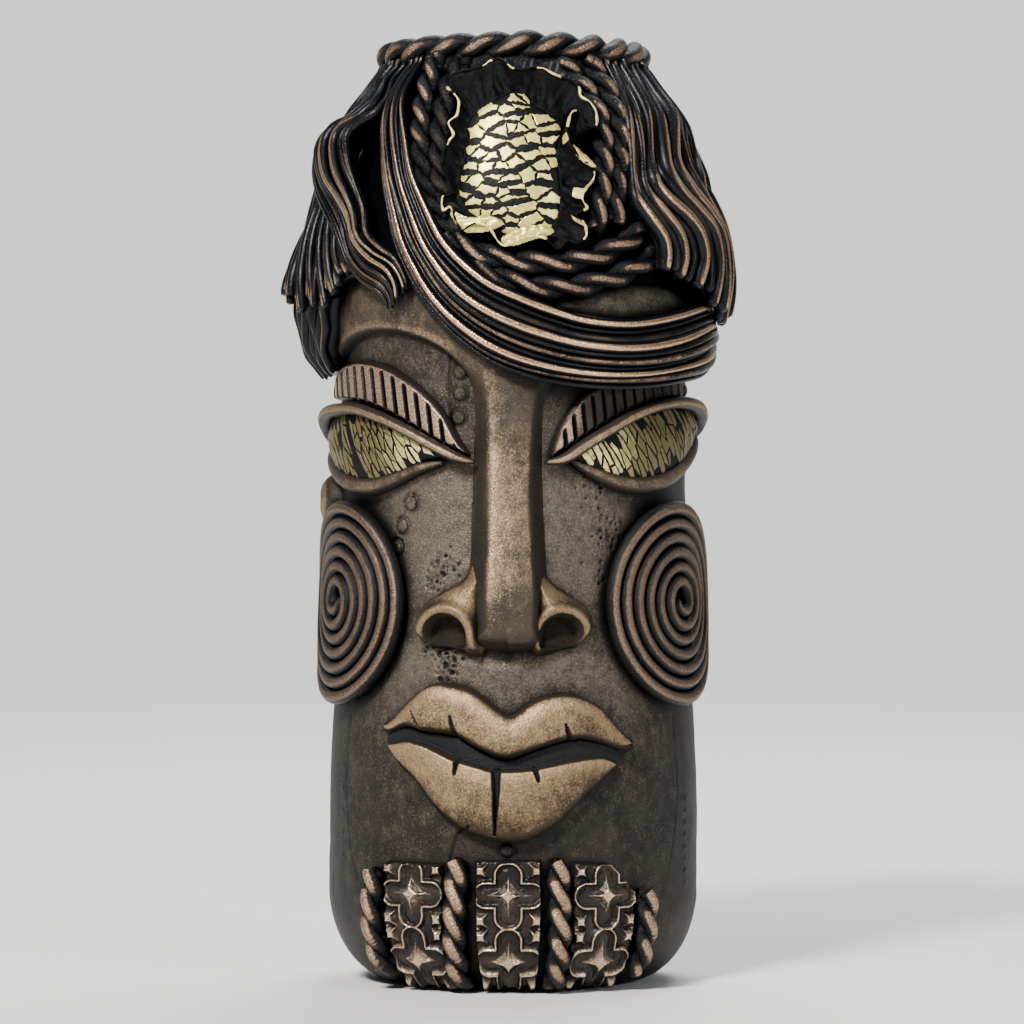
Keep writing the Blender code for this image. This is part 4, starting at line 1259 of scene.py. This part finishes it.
def eye_lift(depth):
    """The dome of an eye, by the depth inside its edge."""
    return 1.7 + 1.5 * rise(depth / 8.0)


def make_eyes():
    """Each eye is a domed black inlay with long slanting flakes of leaf."""
    def lift(x, level, depth):
        return eye_lift(depth) * smoothstep(-0.5, 0.3, depth)

    for side, (outline, slant, seed) in EYES.items():
        ring = flat_ring(outline)
        piece = relief(f"eye_base_{side}", outline, lift, INK, step=0.3)
        finish_piece(piece, "hair_clay")
        inner_x = ring[np.argmin(np.abs(ring[:, 0]))][0]

        def gold(x, level, inner_x=inner_x):
            return 1.0 - 0.95 * smoothstep(4.5, 17.0, abs(x - inner_x))

        def skip(x, level, side=side):
            """One slanting row is missing in the left eye."""
            return side == "left" and abs(x + 38.5 + 0.5 * (level - 115.0)) < 1.1

        cells = dict(across=5.2, along=1.2, angle=slant, gaps=(0.4, 0.34), seed=seed, merged=0.12)
        flakes = make_flakes(f"eye_leaf_{side}", ring, eye_lift, cells, EYE_GOLD, 0.12, gold, skip)
        finish_piece(flakes, "gold_leaf", f"eye_inlay_{side}")


# Hair


def even_route(keys, count):
    """Evenly spaced places on a smooth route of (azimuth, level, lift)."""
    scale = np.array([DEGREE_MM, 1.0, 1.0])
    return even_curve(np.array(keys, dtype=float) * scale, count) / scale


def sheet_paths(keys, count, steps, seed, sway, ripple):
    """Strand routes spread evenly between the key ones, each a little different."""
    lines = np.array([even_route(k, steps) for k in keys])
    place = np.linspace(0, len(keys) - 1, count)
    low = np.minimum(place.astype(int), len(keys) - 2)
    share = (place - low)[:, None, None]
    paths = lines[low] * (1 - share) + lines[low + 1] * share
    random = np.random.default_rng(seed)
    t = np.linspace(0.0, 1.0, steps)
    fade = smoothstep(0.0, 0.2, t)
    for path in paths:
        rate = random.uniform(0.8, 2.4, 2)
        phase = random.uniform(0, math.tau, 2)
        path[:, 0] += fade * sway * np.sin(math.tau * rate[0] * t + phase[0]) / DEGREE_MM
        path[:, 2] += fade * (ripple * np.sin(math.tau * rate[1] * t + phase[1])
                              + random.uniform(-ripple, ripple))
    return paths


def hair_bed(paths, deep):
    """Points and faces of the dark slab under a lock. It starts half a millimetre under the middles of
    the strands, stays above the skin and stops short of their tips."""
    count, steps = paths.shape[:2]
    last = int(steps * 0.95)
    top = paths[:, :last].copy()
    top[..., 2] -= 0.5
    under = top.copy()
    under[..., 2] = np.maximum(under[..., 2] - deep, 0.2)
    points = np.concatenate([on_skin(*np.moveaxis(side, -1, 0)).reshape(-1, 3) for side in (top, under)])
    front = [face[::-1] for face in grid_quads(count, last)]
    back = grid_quads(count, last, start=count * last)
    index = np.arange(count * last).reshape(count, last)
    ring = np.concatenate([index[0], index[1:, -1], index[-1, -2::-1], index[-2:0:-1, 0]])
    follow = np.roll(ring, -1)
    sides = np.stack([ring, follow, follow + count * last, ring + count * last], -1).tolist()
    return points, front + back + sides


def make_sheet(name, nodes, keys, count, seed, sway, ripple, steps, bed, widest, narrowest, ends, run,
               trim, bright, fill=0.56, tips=0.0):
    """A lock of strands laid side by side, over a dark bed that closes the gaps between them. bright
    gives the strands' bronze in turn, tips the least at their ends, and trim how ragged those are.
    A strand's half width is its fill of the space it has, between the narrowest and the widest."""
    sides = 10
    paths = sheet_paths(keys, count, steps, seed, sway, ripple)
    random = np.random.default_rng(seed + 100)
    world = on_skin(*np.moveaxis(paths, -1, 0))
    outs = outward(paths[..., 0], paths[..., 1])
    between = np.linalg.norm(np.diff(world, axis=0), axis=2) / MM
    between = np.vstack([between[:1], between, between[-1:]])
    spacing = 0.5 * (between[:-1] + between[1:])
    shells = []
    rubs = []
    for i in range(count):
        stop = steps - int(random.uniform(0.0, trim) * steps)
        weight = bright[i % len(bright)] * random.uniform(0.85, 1.0)
        half = np.clip(fill * spacing[i, :stop], narrowest, widest) * random.uniform(0.9, 1.08)
        half *= (0.74 + 0.5 * weight) * taper(stop, *ends, run)
        raised = world[i, :stop] + outs[i, :stop] * (0.55 * (weight - 0.35)) * MM
        shells.append(strand_shell(raised, outs[i, :stop], half, half * 1.05, sides))
        along = np.repeat(np.linspace(0, 1, stop), sides)
        rubs.append(np.maximum(weight, tips * smoothstep(0.9, 0.97, along)))
    shells.append(hair_bed(paths, bed))
    rubs.append(0.0)
    points, faces, rub = join_shells(shells, rubs)
    piece = make_piece(name, points, faces, HAIR_CLAY, rub)
    finish_piece(piece, "hair_clay", *nodes)


def make_fringe():
    """Strands that leave the rope on the left, sweep down across the brow and tuck in on the right."""
    top = [(-42.5, 197.6, 2.4), (-43, 192.4, 3.8), (-41.5, 187, 5), (-37, 180, 5.2), (-33, 173, 5.2),
           (-27.5, 166, 5), (-22, 159.3, 5), (-16, 154.2, 5), (-8, 149.5, 5.2), (1, 146.3, 5.4),
           (10, 143.7, 5.6), (20, 141.6, 5.8), (34, 141.1, 6), (50, 142.9, 6.2), (66, 145.3, 6.2),
           (78, 146, 5.2), (88, 147.4, 3.8), (98, 149, 2.2)]
    middle = [(-46, 197.6, 2.4), (-46.5, 191.4, 4.2), (-44.6, 184.8, 5.8), (-40.6, 176.8, 6.4),
              (-36, 169, 6.4), (-31, 161, 6.2), (-25.6, 154.2, 6.2), (-19, 147.9, 6.2),
              (-11, 142.8, 6.3), (-2, 138.9, 6.4), (8.5, 136, 6.6), (21, 134, 6.8), (36, 133.7, 7),
              (52, 135.5, 7.1), (68, 138.6, 7.1), (82, 140.8, 6.2), (92, 143.4, 4.6), (100, 146.5, 2.6)]
    low = [(-50, 197.6, 2.4), (-50.5, 190, 4), (-47.6, 183, 5.6), (-43, 174, 6), (-38.6, 165, 5.8),
           (-34.4, 156.5, 5.6), (-29, 149.4, 5.4), (-22, 142.6, 5.4), (-14, 137, 5.4),
           (-5, 132.6, 5.6), (7, 129.4, 5.8), (22, 127.8, 6), (38, 128, 6.2), (54, 129.4, 6.4),
           (70, 131.4, 6.5), (84, 135.4, 6.0), (93, 140.4, 4.6), (101, 144.5, 2.4)]
    nodes = [f"fringe_strand_{i}" for i in range(1, 7)]
    make_sheet("fringe", nodes, [top, middle, low], 10, 3, sway=0.2, ripple=0.4, steps=150, bed=7.0,
               widest=1.1, narrowest=0.5, fill=0.58, ends=(0.8, 0.5), run=0.02, trim=0.01,
               bright=(1.0, 0.05, 0.25, 1.0, 0.05, 0.5, 0.05, 1.0, 0.45, 0.05))


def make_left_lock():
    """The lock that stands off the side of the head, folds forwards and ends in small hooks."""
    first = [(-53, 197.6, 2.4), (-55, 193, 3.4), (-51, 188, 4.6), (-51.5, 184.4, 6.4), (-56.5, 182, 8.2),
             (-58, 179.3, 9.2), (-54.5, 174.8, 9.2), (-49.5, 169.6, 8.2), (-46.5, 164.5, 7),
             (-45.5, 160, 6.4), (-40, 156.8, 6.2), (-35, 154.6, 6.2), (-31.5, 151.4, 6.2), (-30, 148.2, 5.6)]
    second = [(-61, 197.6, 2.4), (-62, 192.4, 3.4), (-58, 187.6, 4.6), (-59.5, 183.8, 6.6), (-64, 181.2, 8.8),
              (-64.5, 177.6, 9.8), (-60.5, 172.4, 9.6), (-54, 167.2, 8.4), (-50.5, 163, 7.4),
              (-48.6, 159, 6.8), (-42.5, 155.2, 6.5), (-36.8, 153, 6.5), (-33.5, 150, 6.3), (-33, 146.6, 5.4)]
    third = [(-72, 197.6, 2.4), (-73, 192.4, 3.4), (-67, 187.4, 4.6), (-68, 183.4, 6.6), (-73, 180.6, 9),
             (-72, 176.6, 10), (-67, 171.6, 9.4), (-59, 166.4, 8.2), (-54, 161.8, 7.4),
             (-51, 157.2, 6.8), (-45.5, 153.2, 6.4), (-39, 150.8, 6.4), (-36, 148.4, 6), (-36, 145.2, 5)]
    fourth = [(-84, 197.4, 2.4), (-84, 192.2, 3.4), (-78, 187, 4.4), (-79, 182.6, 6.2), (-82, 179.4, 8.6),
              (-79, 174.6, 9), (-71, 169.6, 8.4), (-63, 164, 7.6), (-57.5, 159.2, 7), (-53.5, 154.2, 6.6),
              (-48, 150.8, 6.2), (-41.5, 148.6, 6.2), (-38.5, 146.6, 5.6), (-38.5, 144, 4.6)]
    make_sheet("lock_left", ["lock_left"], [first, second, third, fourth], 11, 17, sway=0.3, ripple=0.3,
               steps=110, bed=1.2, widest=1.15, narrowest=0.4, ends=(0.7, 0.45), run=0.03, trim=0.03,
               bright=(0.5, 0.12, 1.0, 0.1, 0.95, 0.12, 0.3, 0.1, 0.5, 0.12, 0.2))


def make_side_tails():
    """Straighter strands that come from behind the lock and end in cut tips, over a short lower tail."""
    keys = [
        [(-63, 187, 1.8), (-61.5, 179, 3.4), (-60, 171, 5.3), (-59, 165, 5.4), (-58, 160, 5.4),
         (-54, 154.6, 5.8), (-48, 150.4, 6)],
        [(-69, 193, 1.8), (-67.5, 182, 3.4), (-66, 171.5, 5.4), (-66, 165.5, 5.4), (-65, 160, 5.6),
         (-61, 154, 6.2), (-56, 148.8, 6.6)],
        [(-76, 196.5, 1.6), (-74.5, 184, 3.2), (-73, 172, 5.6), (-73.5, 165.5, 5.8), (-72.5, 159.5, 6.4),
         (-69.5, 152, 7.4), (-67.5, 144, 7.6)],
        [(-85, 196.5, 1.6), (-83.5, 184, 3.4), (-82, 172.5, 6), (-82.5, 165.5, 6.4), (-81, 159, 7.8),
         (-78, 151.4, 9.6), (-76.5, 144.5, 9.6)],
        [(-95, 196.5, 1.8), (-93.5, 184, 4.0), (-92, 173, 6.4), (-92.5, 165.5, 7.2), (-91, 158.4, 9.2),
         (-88, 152, 11), (-86, 148, 11.8)],
    ]
    make_sheet("side_tail_left", ["side_tail_left"], keys, 15, 29,
               sway=0.4, ripple=0.45, steps=60, bed=3.5, widest=1.15, narrowest=0.5, ends=(0.5, 0.8),
               run=0.04, trim=0.08, bright=(0.25, 0.12, 0.3, 0.1, 0.35, 0.15), tips=0.8)
    keys = [
        [(-66, 150, 5.2), (-67.5, 145, 5.6), (-70, 140, 5.4), (-72, 135.4, 4.6), (-76, 131, 2.8)],
        [(-76, 151, 6.6), (-78, 145.6, 7.4), (-79.5, 140, 7), (-80, 135, 5.8), (-81, 130.4, 3.2)],
        [(-90, 152, 8), (-90, 146, 9), (-90, 140.6, 8.4), (-88, 135.4, 7.2), (-86, 130, 3.6)],
    ]
    make_sheet("lower_tail_left", ["lower_tail_left"], keys, 8, 41, sway=0.3,
               ripple=0.3, steps=50, bed=6.0, widest=1.3, narrowest=0.4, ends=(0.6, 0.3), run=0.12,
               trim=0.03, bright=(0.4, 0.12, 0.15, 0.3))


def make_right_lock():
    """Wide waves from the rope down to the fringe, whose ends are staggered."""
    first = [(44, 197.2, 2.2), (44, 190.5, 2.8), (42.6, 183.7, 3.8), (41, 177.2, 4.6), (38.6, 170.6, 5.2),
             (38, 166.6, 5.8), (41.6, 162.4, 6.4), (45.5, 158.6, 7), (46, 154.5, 7), (44.6, 150.4, 6.2)]
    second = [(51.5, 197.2, 2.2), (51, 190.5, 3), (49.6, 184.2, 4), (46.6, 178, 4.6), (42.6, 171.6, 5.4),
              (43.6, 167.8, 6.4), (50, 164, 7.2), (56, 160.4, 7.7), (58.6, 155.6, 7.6), (56.6, 150.4, 6.6)]
    third = [(62, 197.2, 2.2), (60.5, 190.5, 3), (58, 185, 4.2), (54, 179.4, 4.6), (51, 173.4, 5.4),
             (53, 169, 6.8), (59.6, 165, 7.8), (66, 161, 8.3), (68, 154.4, 8.4), (66, 145.6, 7.4)]
    fourth = [(75, 197.2, 2.2), (73, 190.6, 3), (70, 185.2, 4.2), (65, 180, 4.2), (61.6, 174.4, 5),
              (64, 169.4, 6.8), (69.6, 165, 7.9), (74.6, 160.4, 8.6), (75.6, 152.6, 8.9), (74.6, 143, 8)]
    fifth = [(90, 197.2, 2.2), (88, 190.6, 3), (85, 185.4, 4.1), (81, 180, 3.8), (79, 174, 4.5),
             (81.4, 168.6, 6.8), (85.4, 163.4, 8), (88.6, 158, 8.6), (88.6, 150, 8.9), (87, 141.8, 8)]
    make_sheet("lock_right", ["lock_right", "lower_tail_right"], [first, second, third, fourth, fifth],
               14, 53, sway=0.4, ripple=0.35, steps=100, bed=5.0, widest=1.4, narrowest=0.55, fill=0.6,
               ends=(0.7, 0.5), run=0.03, trim=0.05,
               bright=(1.0, 0.12, 0.85, 0.1, 1.0, 0.3, 0.1, 0.9, 0.15, 1.0, 0.1, 0.7, 0.2, 0.6))


def make_back_hair():
    """The hair behind: waves of strands that carry on from the right lock round to the left."""
    top, waves_down = 197.2, 1.25
    t = np.linspace(0.0, 1.0, 12)
    bulge = np.interp(t, [0, 0.12, 0.25, 0.4, 0.55, 0.78, 0.92, 1.0],
                      [2.3, 3.2, 4.4, 5.6, 6.4, 7.4, 6.6, 4.4])
    keys = []
    for azimuth, foot, phase in ((80, 143, 0.0), (104, 139.5, 0.7), (124, 137, 1.6), (146, 139, 2.4),
                                 (168, 135.5, 3.4), (190, 138, 4.1), (212, 134.5, 5.0), (234, 137, 5.8),
                                 (254, 140, 6.6), (276, 144, 7.2)):
        swing = 6.5 * smoothstep(0.0, 0.35, t) * np.sin(math.tau * waves_down * t + phase)
        keys.append(np.stack([azimuth + swing, top + (foot - top) * t, bulge], -1))
    for name, node, part, seed in (("back_hair_right", "back_lock_right", keys[:6], 61),
                                   ("back_hair_left", "back_lock_left", keys[5:], 71)):
        make_sheet(name, [node], part, 4 * len(part) + 2, seed, sway=0.7, ripple=0.5, steps=90, bed=6.0,
                   widest=1.45, narrowest=0.6, ends=(0.7, 0.4), run=0.05, trim=0.14,
                   bright=(0.7, 0.2, 0.5, 0.15, 0.9, 0.2, 0.3, 0.6, 0.12))


def make_crown_cords():
    """Six fat two-strand cords: their routes, the length of a turn, negative for the other hand, and
    how much bronze they have. The bronze of the outer left one is only on its top."""
    cords = {
        "right_inner": ([(20, 196, 2.4), (27, 191, 2.6), (31.2, 185, 2.7), (31.2, 178, 2.7),
                         (29.6, 172, 2.6), (27.4, 166, 2.5), (25.5, 160.6, 2.4)], -11.4, 0.9),
        "right_outer": ([(33, 197, 2.4), (37.4, 192.4, 2.6), (39.2, 186, 2.8), (38.8, 180, 2.8),
                         (37, 174, 2.7), (34.4, 168, 2.6), (32.4, 162.4, 2.4)], -11.4, 1.0),
        "left_inner": ([(-22, 197, 2.2), (-25.6, 191.5, 2.3), (-26, 184, 2.3), (-25.6, 178, 2.3),
                        (-24, 171.5, 2.2), (-20.5, 166, 2.2), (-16, 160.6, 2.2)], -10.6, 0.3),
        "left_outer": ([(-35, 198, 2.6), (-35.2, 193, 2.9), (-34.6, 188, 2.9), (-33.4, 182, 2.8),
                        (-31.6, 175.6, 2.6), (-28, 169, 2.4), (-24, 164, 2.3), (-19, 159.4, 2.3)],
                       -10.8, 0.95),
        "lower_inner": ([(-20, 160.4, 2.5), (-14, 157.0, 2.7), (-6, 154.8, 2.9), (6, 153.6, 3),
                         (19, 154.0, 3), (30, 156.4, 3), (39, 159.4, 2.8), (46, 162, 2.4)], 17.4, 0.8),
        "lower_outer": ([(-15, 154.8, 2.5), (-8, 151.6, 2.7), (2, 149.2, 2.9), (13.8, 148.4, 3),
                         (27, 150, 3), (38, 152.6, 2.9), (47, 155.8, 2.6)], 17.4, 0.7),
    }
    for name, (route, turn, bronze) in cords.items():
        start = 2.2 if "left" in name else 0.9
        shells, fronts = twisted_shells(route, 1.15, 1.5, turn, flat=0.85, count=190, start=start)
        points, faces, rub = join_shells(shells, [bronze * front for front in fronts])
        if name == "left_outer":
            rub = rub * smoothstep(176.0, 184.0, points[:, 2] / MM)
        piece = make_piece(f"cord_{name}", points, faces, ROPE_CLAY, rub)
        finish_piece(piece, "hair_clay", f"crown_cord_{name}")


# The torn rim of the frill, as (azimuth, level, lift).
FRILL_RIM = [
    (-9, 194.2, 5.0), (-5, 194.5, 5.4), (-1, 192.4, 6.0), (4, 191.8, 6.2), (9, 192.4, 6.0),
    (15, 191, 5.8), (19.5, 190.6, 5.0), (23, 189.2, 5.4), (23.2, 186.8, 5.8), (26, 185.2, 6.2),
    (27.2, 182.8, 6.4), (25.8, 180.8, 6.4), (23, 181.2, 6.2), (22, 183.4, 6.2), (18.6, 183.4, 6.4),
    (16.8, 180.6, 6.4), (17.2, 177.4, 6.4), (20, 174.4, 6.0), (24.4, 172.6, 5.4), (24.6, 170.6, 4.6),
    (21.6, 168.6, 5.6), (19.8, 166.2, 6.2), (21.4, 164.4, 5.6), (18, 163, 5.8), (20, 161.4, 5.8),
    (20.8, 159.2, 5.6), (18.4, 157.4, 5.6), (15.4, 158, 5.0), (12.6, 156.2, 4.8), (9, 158.2, 5.8),
    (5, 158.6, 6.0), (1.4, 158, 5.8), (-2.4, 156.8, 6.0), (-4.4, 157.8, 5.6), (-7, 160.4, 5.8),
    (-11, 161, 6.2), (-14.4, 159.8, 6.0), (-16.4, 161.8, 5.4), (-18, 164.4, 6.0), (-20.4, 164, 5.6),
    (-20.6, 166.6, 5.8), (-18.4, 167.4, 5.4), (-19.6, 170.2, 5.0), (-21.6, 172.6, 5.6),
    (-21.4, 175, 6.0), (-20.6, 177.4, 5.6), (-19, 179.4, 5.4), (-20.6, 181.6, 6.0), (-18.4, 183.2, 5.8),
    (-18, 185.6, 6.2), (-20.4, 187.2, 6.4), (-23, 188.6, 6.2), (-22.6, 190.8, 6.0), (-18.8, 191.8, 5.8),
    (-14, 192.6, 5.4),
]
# Where the frill's face has kept its gold: azimuth, level and size in millimetres.
GOLD_FACETS = [(-11, 161, 3.0), (20, 167.4, 1.3), (20, 161.6, 1.0), (18, 179, 1.2), (3, 158.6, 2.4)]


def stone_edge_facing(rim):
    """The places on the stone's edge that lie inside each place of the frill's rim."""
    stone = flat_ring(STONE)
    centre = stone.mean(axis=0)
    half = 12
    angle = np.unwrap(np.arctan2(rim[:, 0] - centre[0], rim[:, 1] - centre[1]))
    turn = math.tau * np.sign(angle[-1] - angle[0])
    padded = np.concatenate([angle[-half:] - turn, angle, angle[:half] + turn])
    angle = np.convolve(padded, np.ones(2 * half + 1) / (2 * half + 1), "valid")
    stone_angle = np.arctan2(stone[:, 0] - centre[0], stone[:, 1] - centre[1])
    order = np.argsort(stone_angle)
    inner = np.stack([
        np.interp(angle, stone_angle[order], stone[order, k], period=math.tau) for k in (0, 1)
    ], -1)
    return centre + (inner - centre) * 0.97


def make_frill():
    """A torn black sheet round the stone, with gold left on its curled rim."""
    rim = smooth_curve(np.array(FRILL_RIM) * [DEGREE_MM, 1.0, 1.0], 8, closed=True)
    count = len(rim)
    rim[:, 2] += 0.5 * waves(rim[:, 0], rim[:, 1], 1 / 0.7, 1.5)
    inner = stone_edge_facing(rim)
    rows = []
    shares = np.array([0.0, 0.08, 0.18, 0.3, 0.42, 0.54, 0.66, 0.78, 0.9, 1.0])
    for share in shares:
        flat = inner * (1 - share) + rim[:, :2] * share
        pleat = 1.25 * waves(flat[:, 0], flat[:, 1], 2.2, 3.0) + 0.6 * waves(flat[:, 0], flat[:, 1], 1.1, 6.0)
        pleat *= math.sin(math.pi * min(1.0, share * 1.2))
        lift = 3.0 + (rim[:, 2] - 3.0) * share ** 1.7 - 0.6 * math.sin(math.pi * share) + pleat
        rows.append(on_skin(flat[:, 0] / DEGREE_MM, flat[:, 1], lift))
    front = np.array(rows)
    azimuth, level = rim[:, 0] / DEGREE_MM, rim[:, 1]
    outs = outward(azimuth, level)
    back = front - 0.45 * MM * outs
    grid = np.concatenate([front, back[::-1]])
    faces = grid_quads(len(grid), count, around=True, over=True)
    edge_gold = smoothstep(-0.12, 0.1, waves(rim[:, 0], rim[:, 1], 4.0, 7.5))
    facet = np.zeros(count)
    for facet_azimuth, facet_level, size in GOLD_FACETS:
        away = np.hypot(rim[:, 0] - facet_azimuth * DEGREE_MM, level - facet_level)
        facet = np.maximum(facet, smoothstep(size * 1.3, size * 0.8, away))
    weight = np.stack([facet * smoothstep(0.5, 0.7, share) for share in shares])
    weight = np.concatenate([weight, 0 * weight])
    path = on_skin(azimuth, level, rim[:, 2])
    turn = np.linspace(0.0, math.tau, count, endpoint=False)
    size = 0.24 + 0.09 * np.sin(23 * turn) + 0.05 * np.sin(61 * turn)
    shells = [(grid.reshape(-1, 3), faces), strand_shell(path, outs, size, size * 0.8, 8, closed=True)]
    points, faces, rub = join_shells(shells, [weight.ravel(), np.repeat(edge_gold, 8)])
    piece = make_piece("crackle_frill", points, faces, FRILL_CLAY, rub)
    finish_piece(piece, "hair_clay", "crackle_frill")


def make_crown_scrap():
    """The crumpled scrap of black sheet between the frill and the rope."""
    scrap = [(-8, 193.5), (-6, 197), (6, 196.6), (19, 197), (22, 192.5), (14, 190), (3, 190.4)]

    def lift(x, level, depth):
        folds = 0.7 * np.sin(x * 0.9 + 0.5 * level) + 0.4 * np.sin(x * 1.7 - 1.1 * level)
        return (3.2 + folds) * rounded(depth, 1.0)

    patch = relief("crown_scrap", scrap, lift, SLATE, step=0.3)
    finish_piece(patch, "hair_clay")


def make_gold_lips():
    """Thin leaves of gold on the frill where its rim curls over."""
    lips = {
        "low_left": ([(-18, 163.4), (-13, 162.2), (-7, 162.4), (-3.4, 161.2), (-8, 159.9),
                      (-14, 160.0)], 5.2),
        "low_middle": ([(-3, 158.2), (2, 160.0), (8, 160.6), (11, 159.6), (5, 158.2), (-1, 157.0)], 5.2),
        "right_curl": ([(18.4, 176.6), (20.4, 175.4), (24.6, 172.8), (20.4, 174.2)], 6.0),
    }

    def glint(x, level, depth):
        return 0.72 + 0.25 * waves(x, level, 1.6, 5.0)

    for name, (outline, high) in lips.items():
        def lip(x, level, depth, high=high):
            return high + 0.25 * rounded(depth, 0.5) + 0.3 * waves(x, level, 0.9, 2.0)

        leaf = relief(f"gold_lip_{name}", outline, lip, GOLD, step=0.2, skirt=high - 0.5, rub=glint)
        finish_piece(leaf, "gold_leaf")


def main():
    make_skin()
    make_jar()
    make_base()
    make_rim()
    make_brow_and_nose()
    make_nostrils()
    make_lips()
    make_lids()
    make_brow_fans()
    make_coils()
    make_small_plates()
    make_chin_tiles()
    make_chin_cords()
    make_stone()
    make_eyes()
    make_crown_cords()
    make_frill()
    make_crown_scrap()
    make_gold_lips()
    make_fringe()
    make_left_lock()
    make_side_tails()
    make_right_lock()
    make_back_hair()


# Camera, light and floor


def add_area(name, place, aim, size, power, colour=(1, 1, 1)):
    """A rectangular lamp at a place, turned to its aim."""
    data = bpy.data.lights.new(name, "AREA")
    data.shape = "RECTANGLE"
    data.size, data.size_y = size
    data.energy = power
    data.color = colour
    lamp = bpy.data.objects.new(name, data)
    lamp.location = place
    lamp.rotation_euler = (Vector(aim) - Vector(place)).to_track_quat("-Z", "Y").to_euler()
    bpy.context.scene.collection.objects.link(lamp)


def make_stage():
    """A pale sweep: a floor that curves up into a backdrop."""
    half, near, far, bend, top = 3.0, -2.0, 1.6, 0.8, 3.0
    turn = np.linspace(0.0, math.pi / 2, 12)
    profile = [(near, 0.0)] + [(far + bend * math.sin(t), bend - bend * math.cos(t)) for t in turn]
    profile.append((far + bend, top))
    points = [(x, y, z) for y, z in profile for x in (-half, half)]
    faces = [(2 * i, 2 * i + 1, 2 * i + 3, 2 * i + 2) for i in range(len(profile) - 1)]
    mesh = bpy.data.meshes.new("sweep")
    mesh.from_pydata(points, [], faces)
    mesh.shade_smooth()
    n = Nodes("sweep_paper")
    paper = n.mix(n.noise(60.0, 3.0), (0.74, 0.735, 0.72), (0.78, 0.775, 0.765))
    n.plug(n.shader.inputs["Base Color"], paper)
    n.shader.inputs["Roughness"].default_value = 0.75
    mesh.materials.append(n.material)
    sweep = bpy.data.objects.new("sweep", mesh)
    bpy.context.scene.collection.objects.link(sweep)


def make_light():
    """A large soft key from the upper left, a weak fill, a top light and one for the backdrop."""
    world = bpy.data.worlds.new("studio")
    bpy.context.scene.world = world
    world.use_nodes = True
    sky = world.node_tree.nodes["Background"]
    sky.inputs["Color"].default_value = (0.86, 0.92, 1.0, 1)
    sky.inputs["Strength"].default_value = 0.14
    add_area("key", (-0.45, -0.95, 0.95), (0, 0, 0.11), (0.26, 0.26), 35.0, (1.0, 0.97, 0.93))
    add_area("fill", (0.95, -1.0, 0.5), (0, 0, 0.1), (0.3, 0.3), 6.0, (0.92, 0.96, 1.0))
    add_area("top", (0.2, 0.6, 1.1), (0, 0, 0.1), (0.7, 0.5), 14.0)
    add_area("backdrop", (0.0, 1.2, 1.6), (0, 2.2, 0.2), (1.6, 0.6), 30.0)


def make_camera():
    """A long lens, level with the middle of the mug, straight in front of the face."""
    data = bpy.data.cameras.new("camera")
    data.lens = 161.2
    data.sensor_width = 36.0
    data.clip_start = 0.05
    camera = bpy.data.objects.new("camera", data)
    camera.location = (-0.0003, -1.0, 0.1015)
    camera.rotation_euler = (math.pi / 2, 0.0, 0.0)
    bpy.context.scene.collection.objects.link(camera)
    bpy.context.scene.camera = camera


main()
make_stage()
make_light()
make_camera()
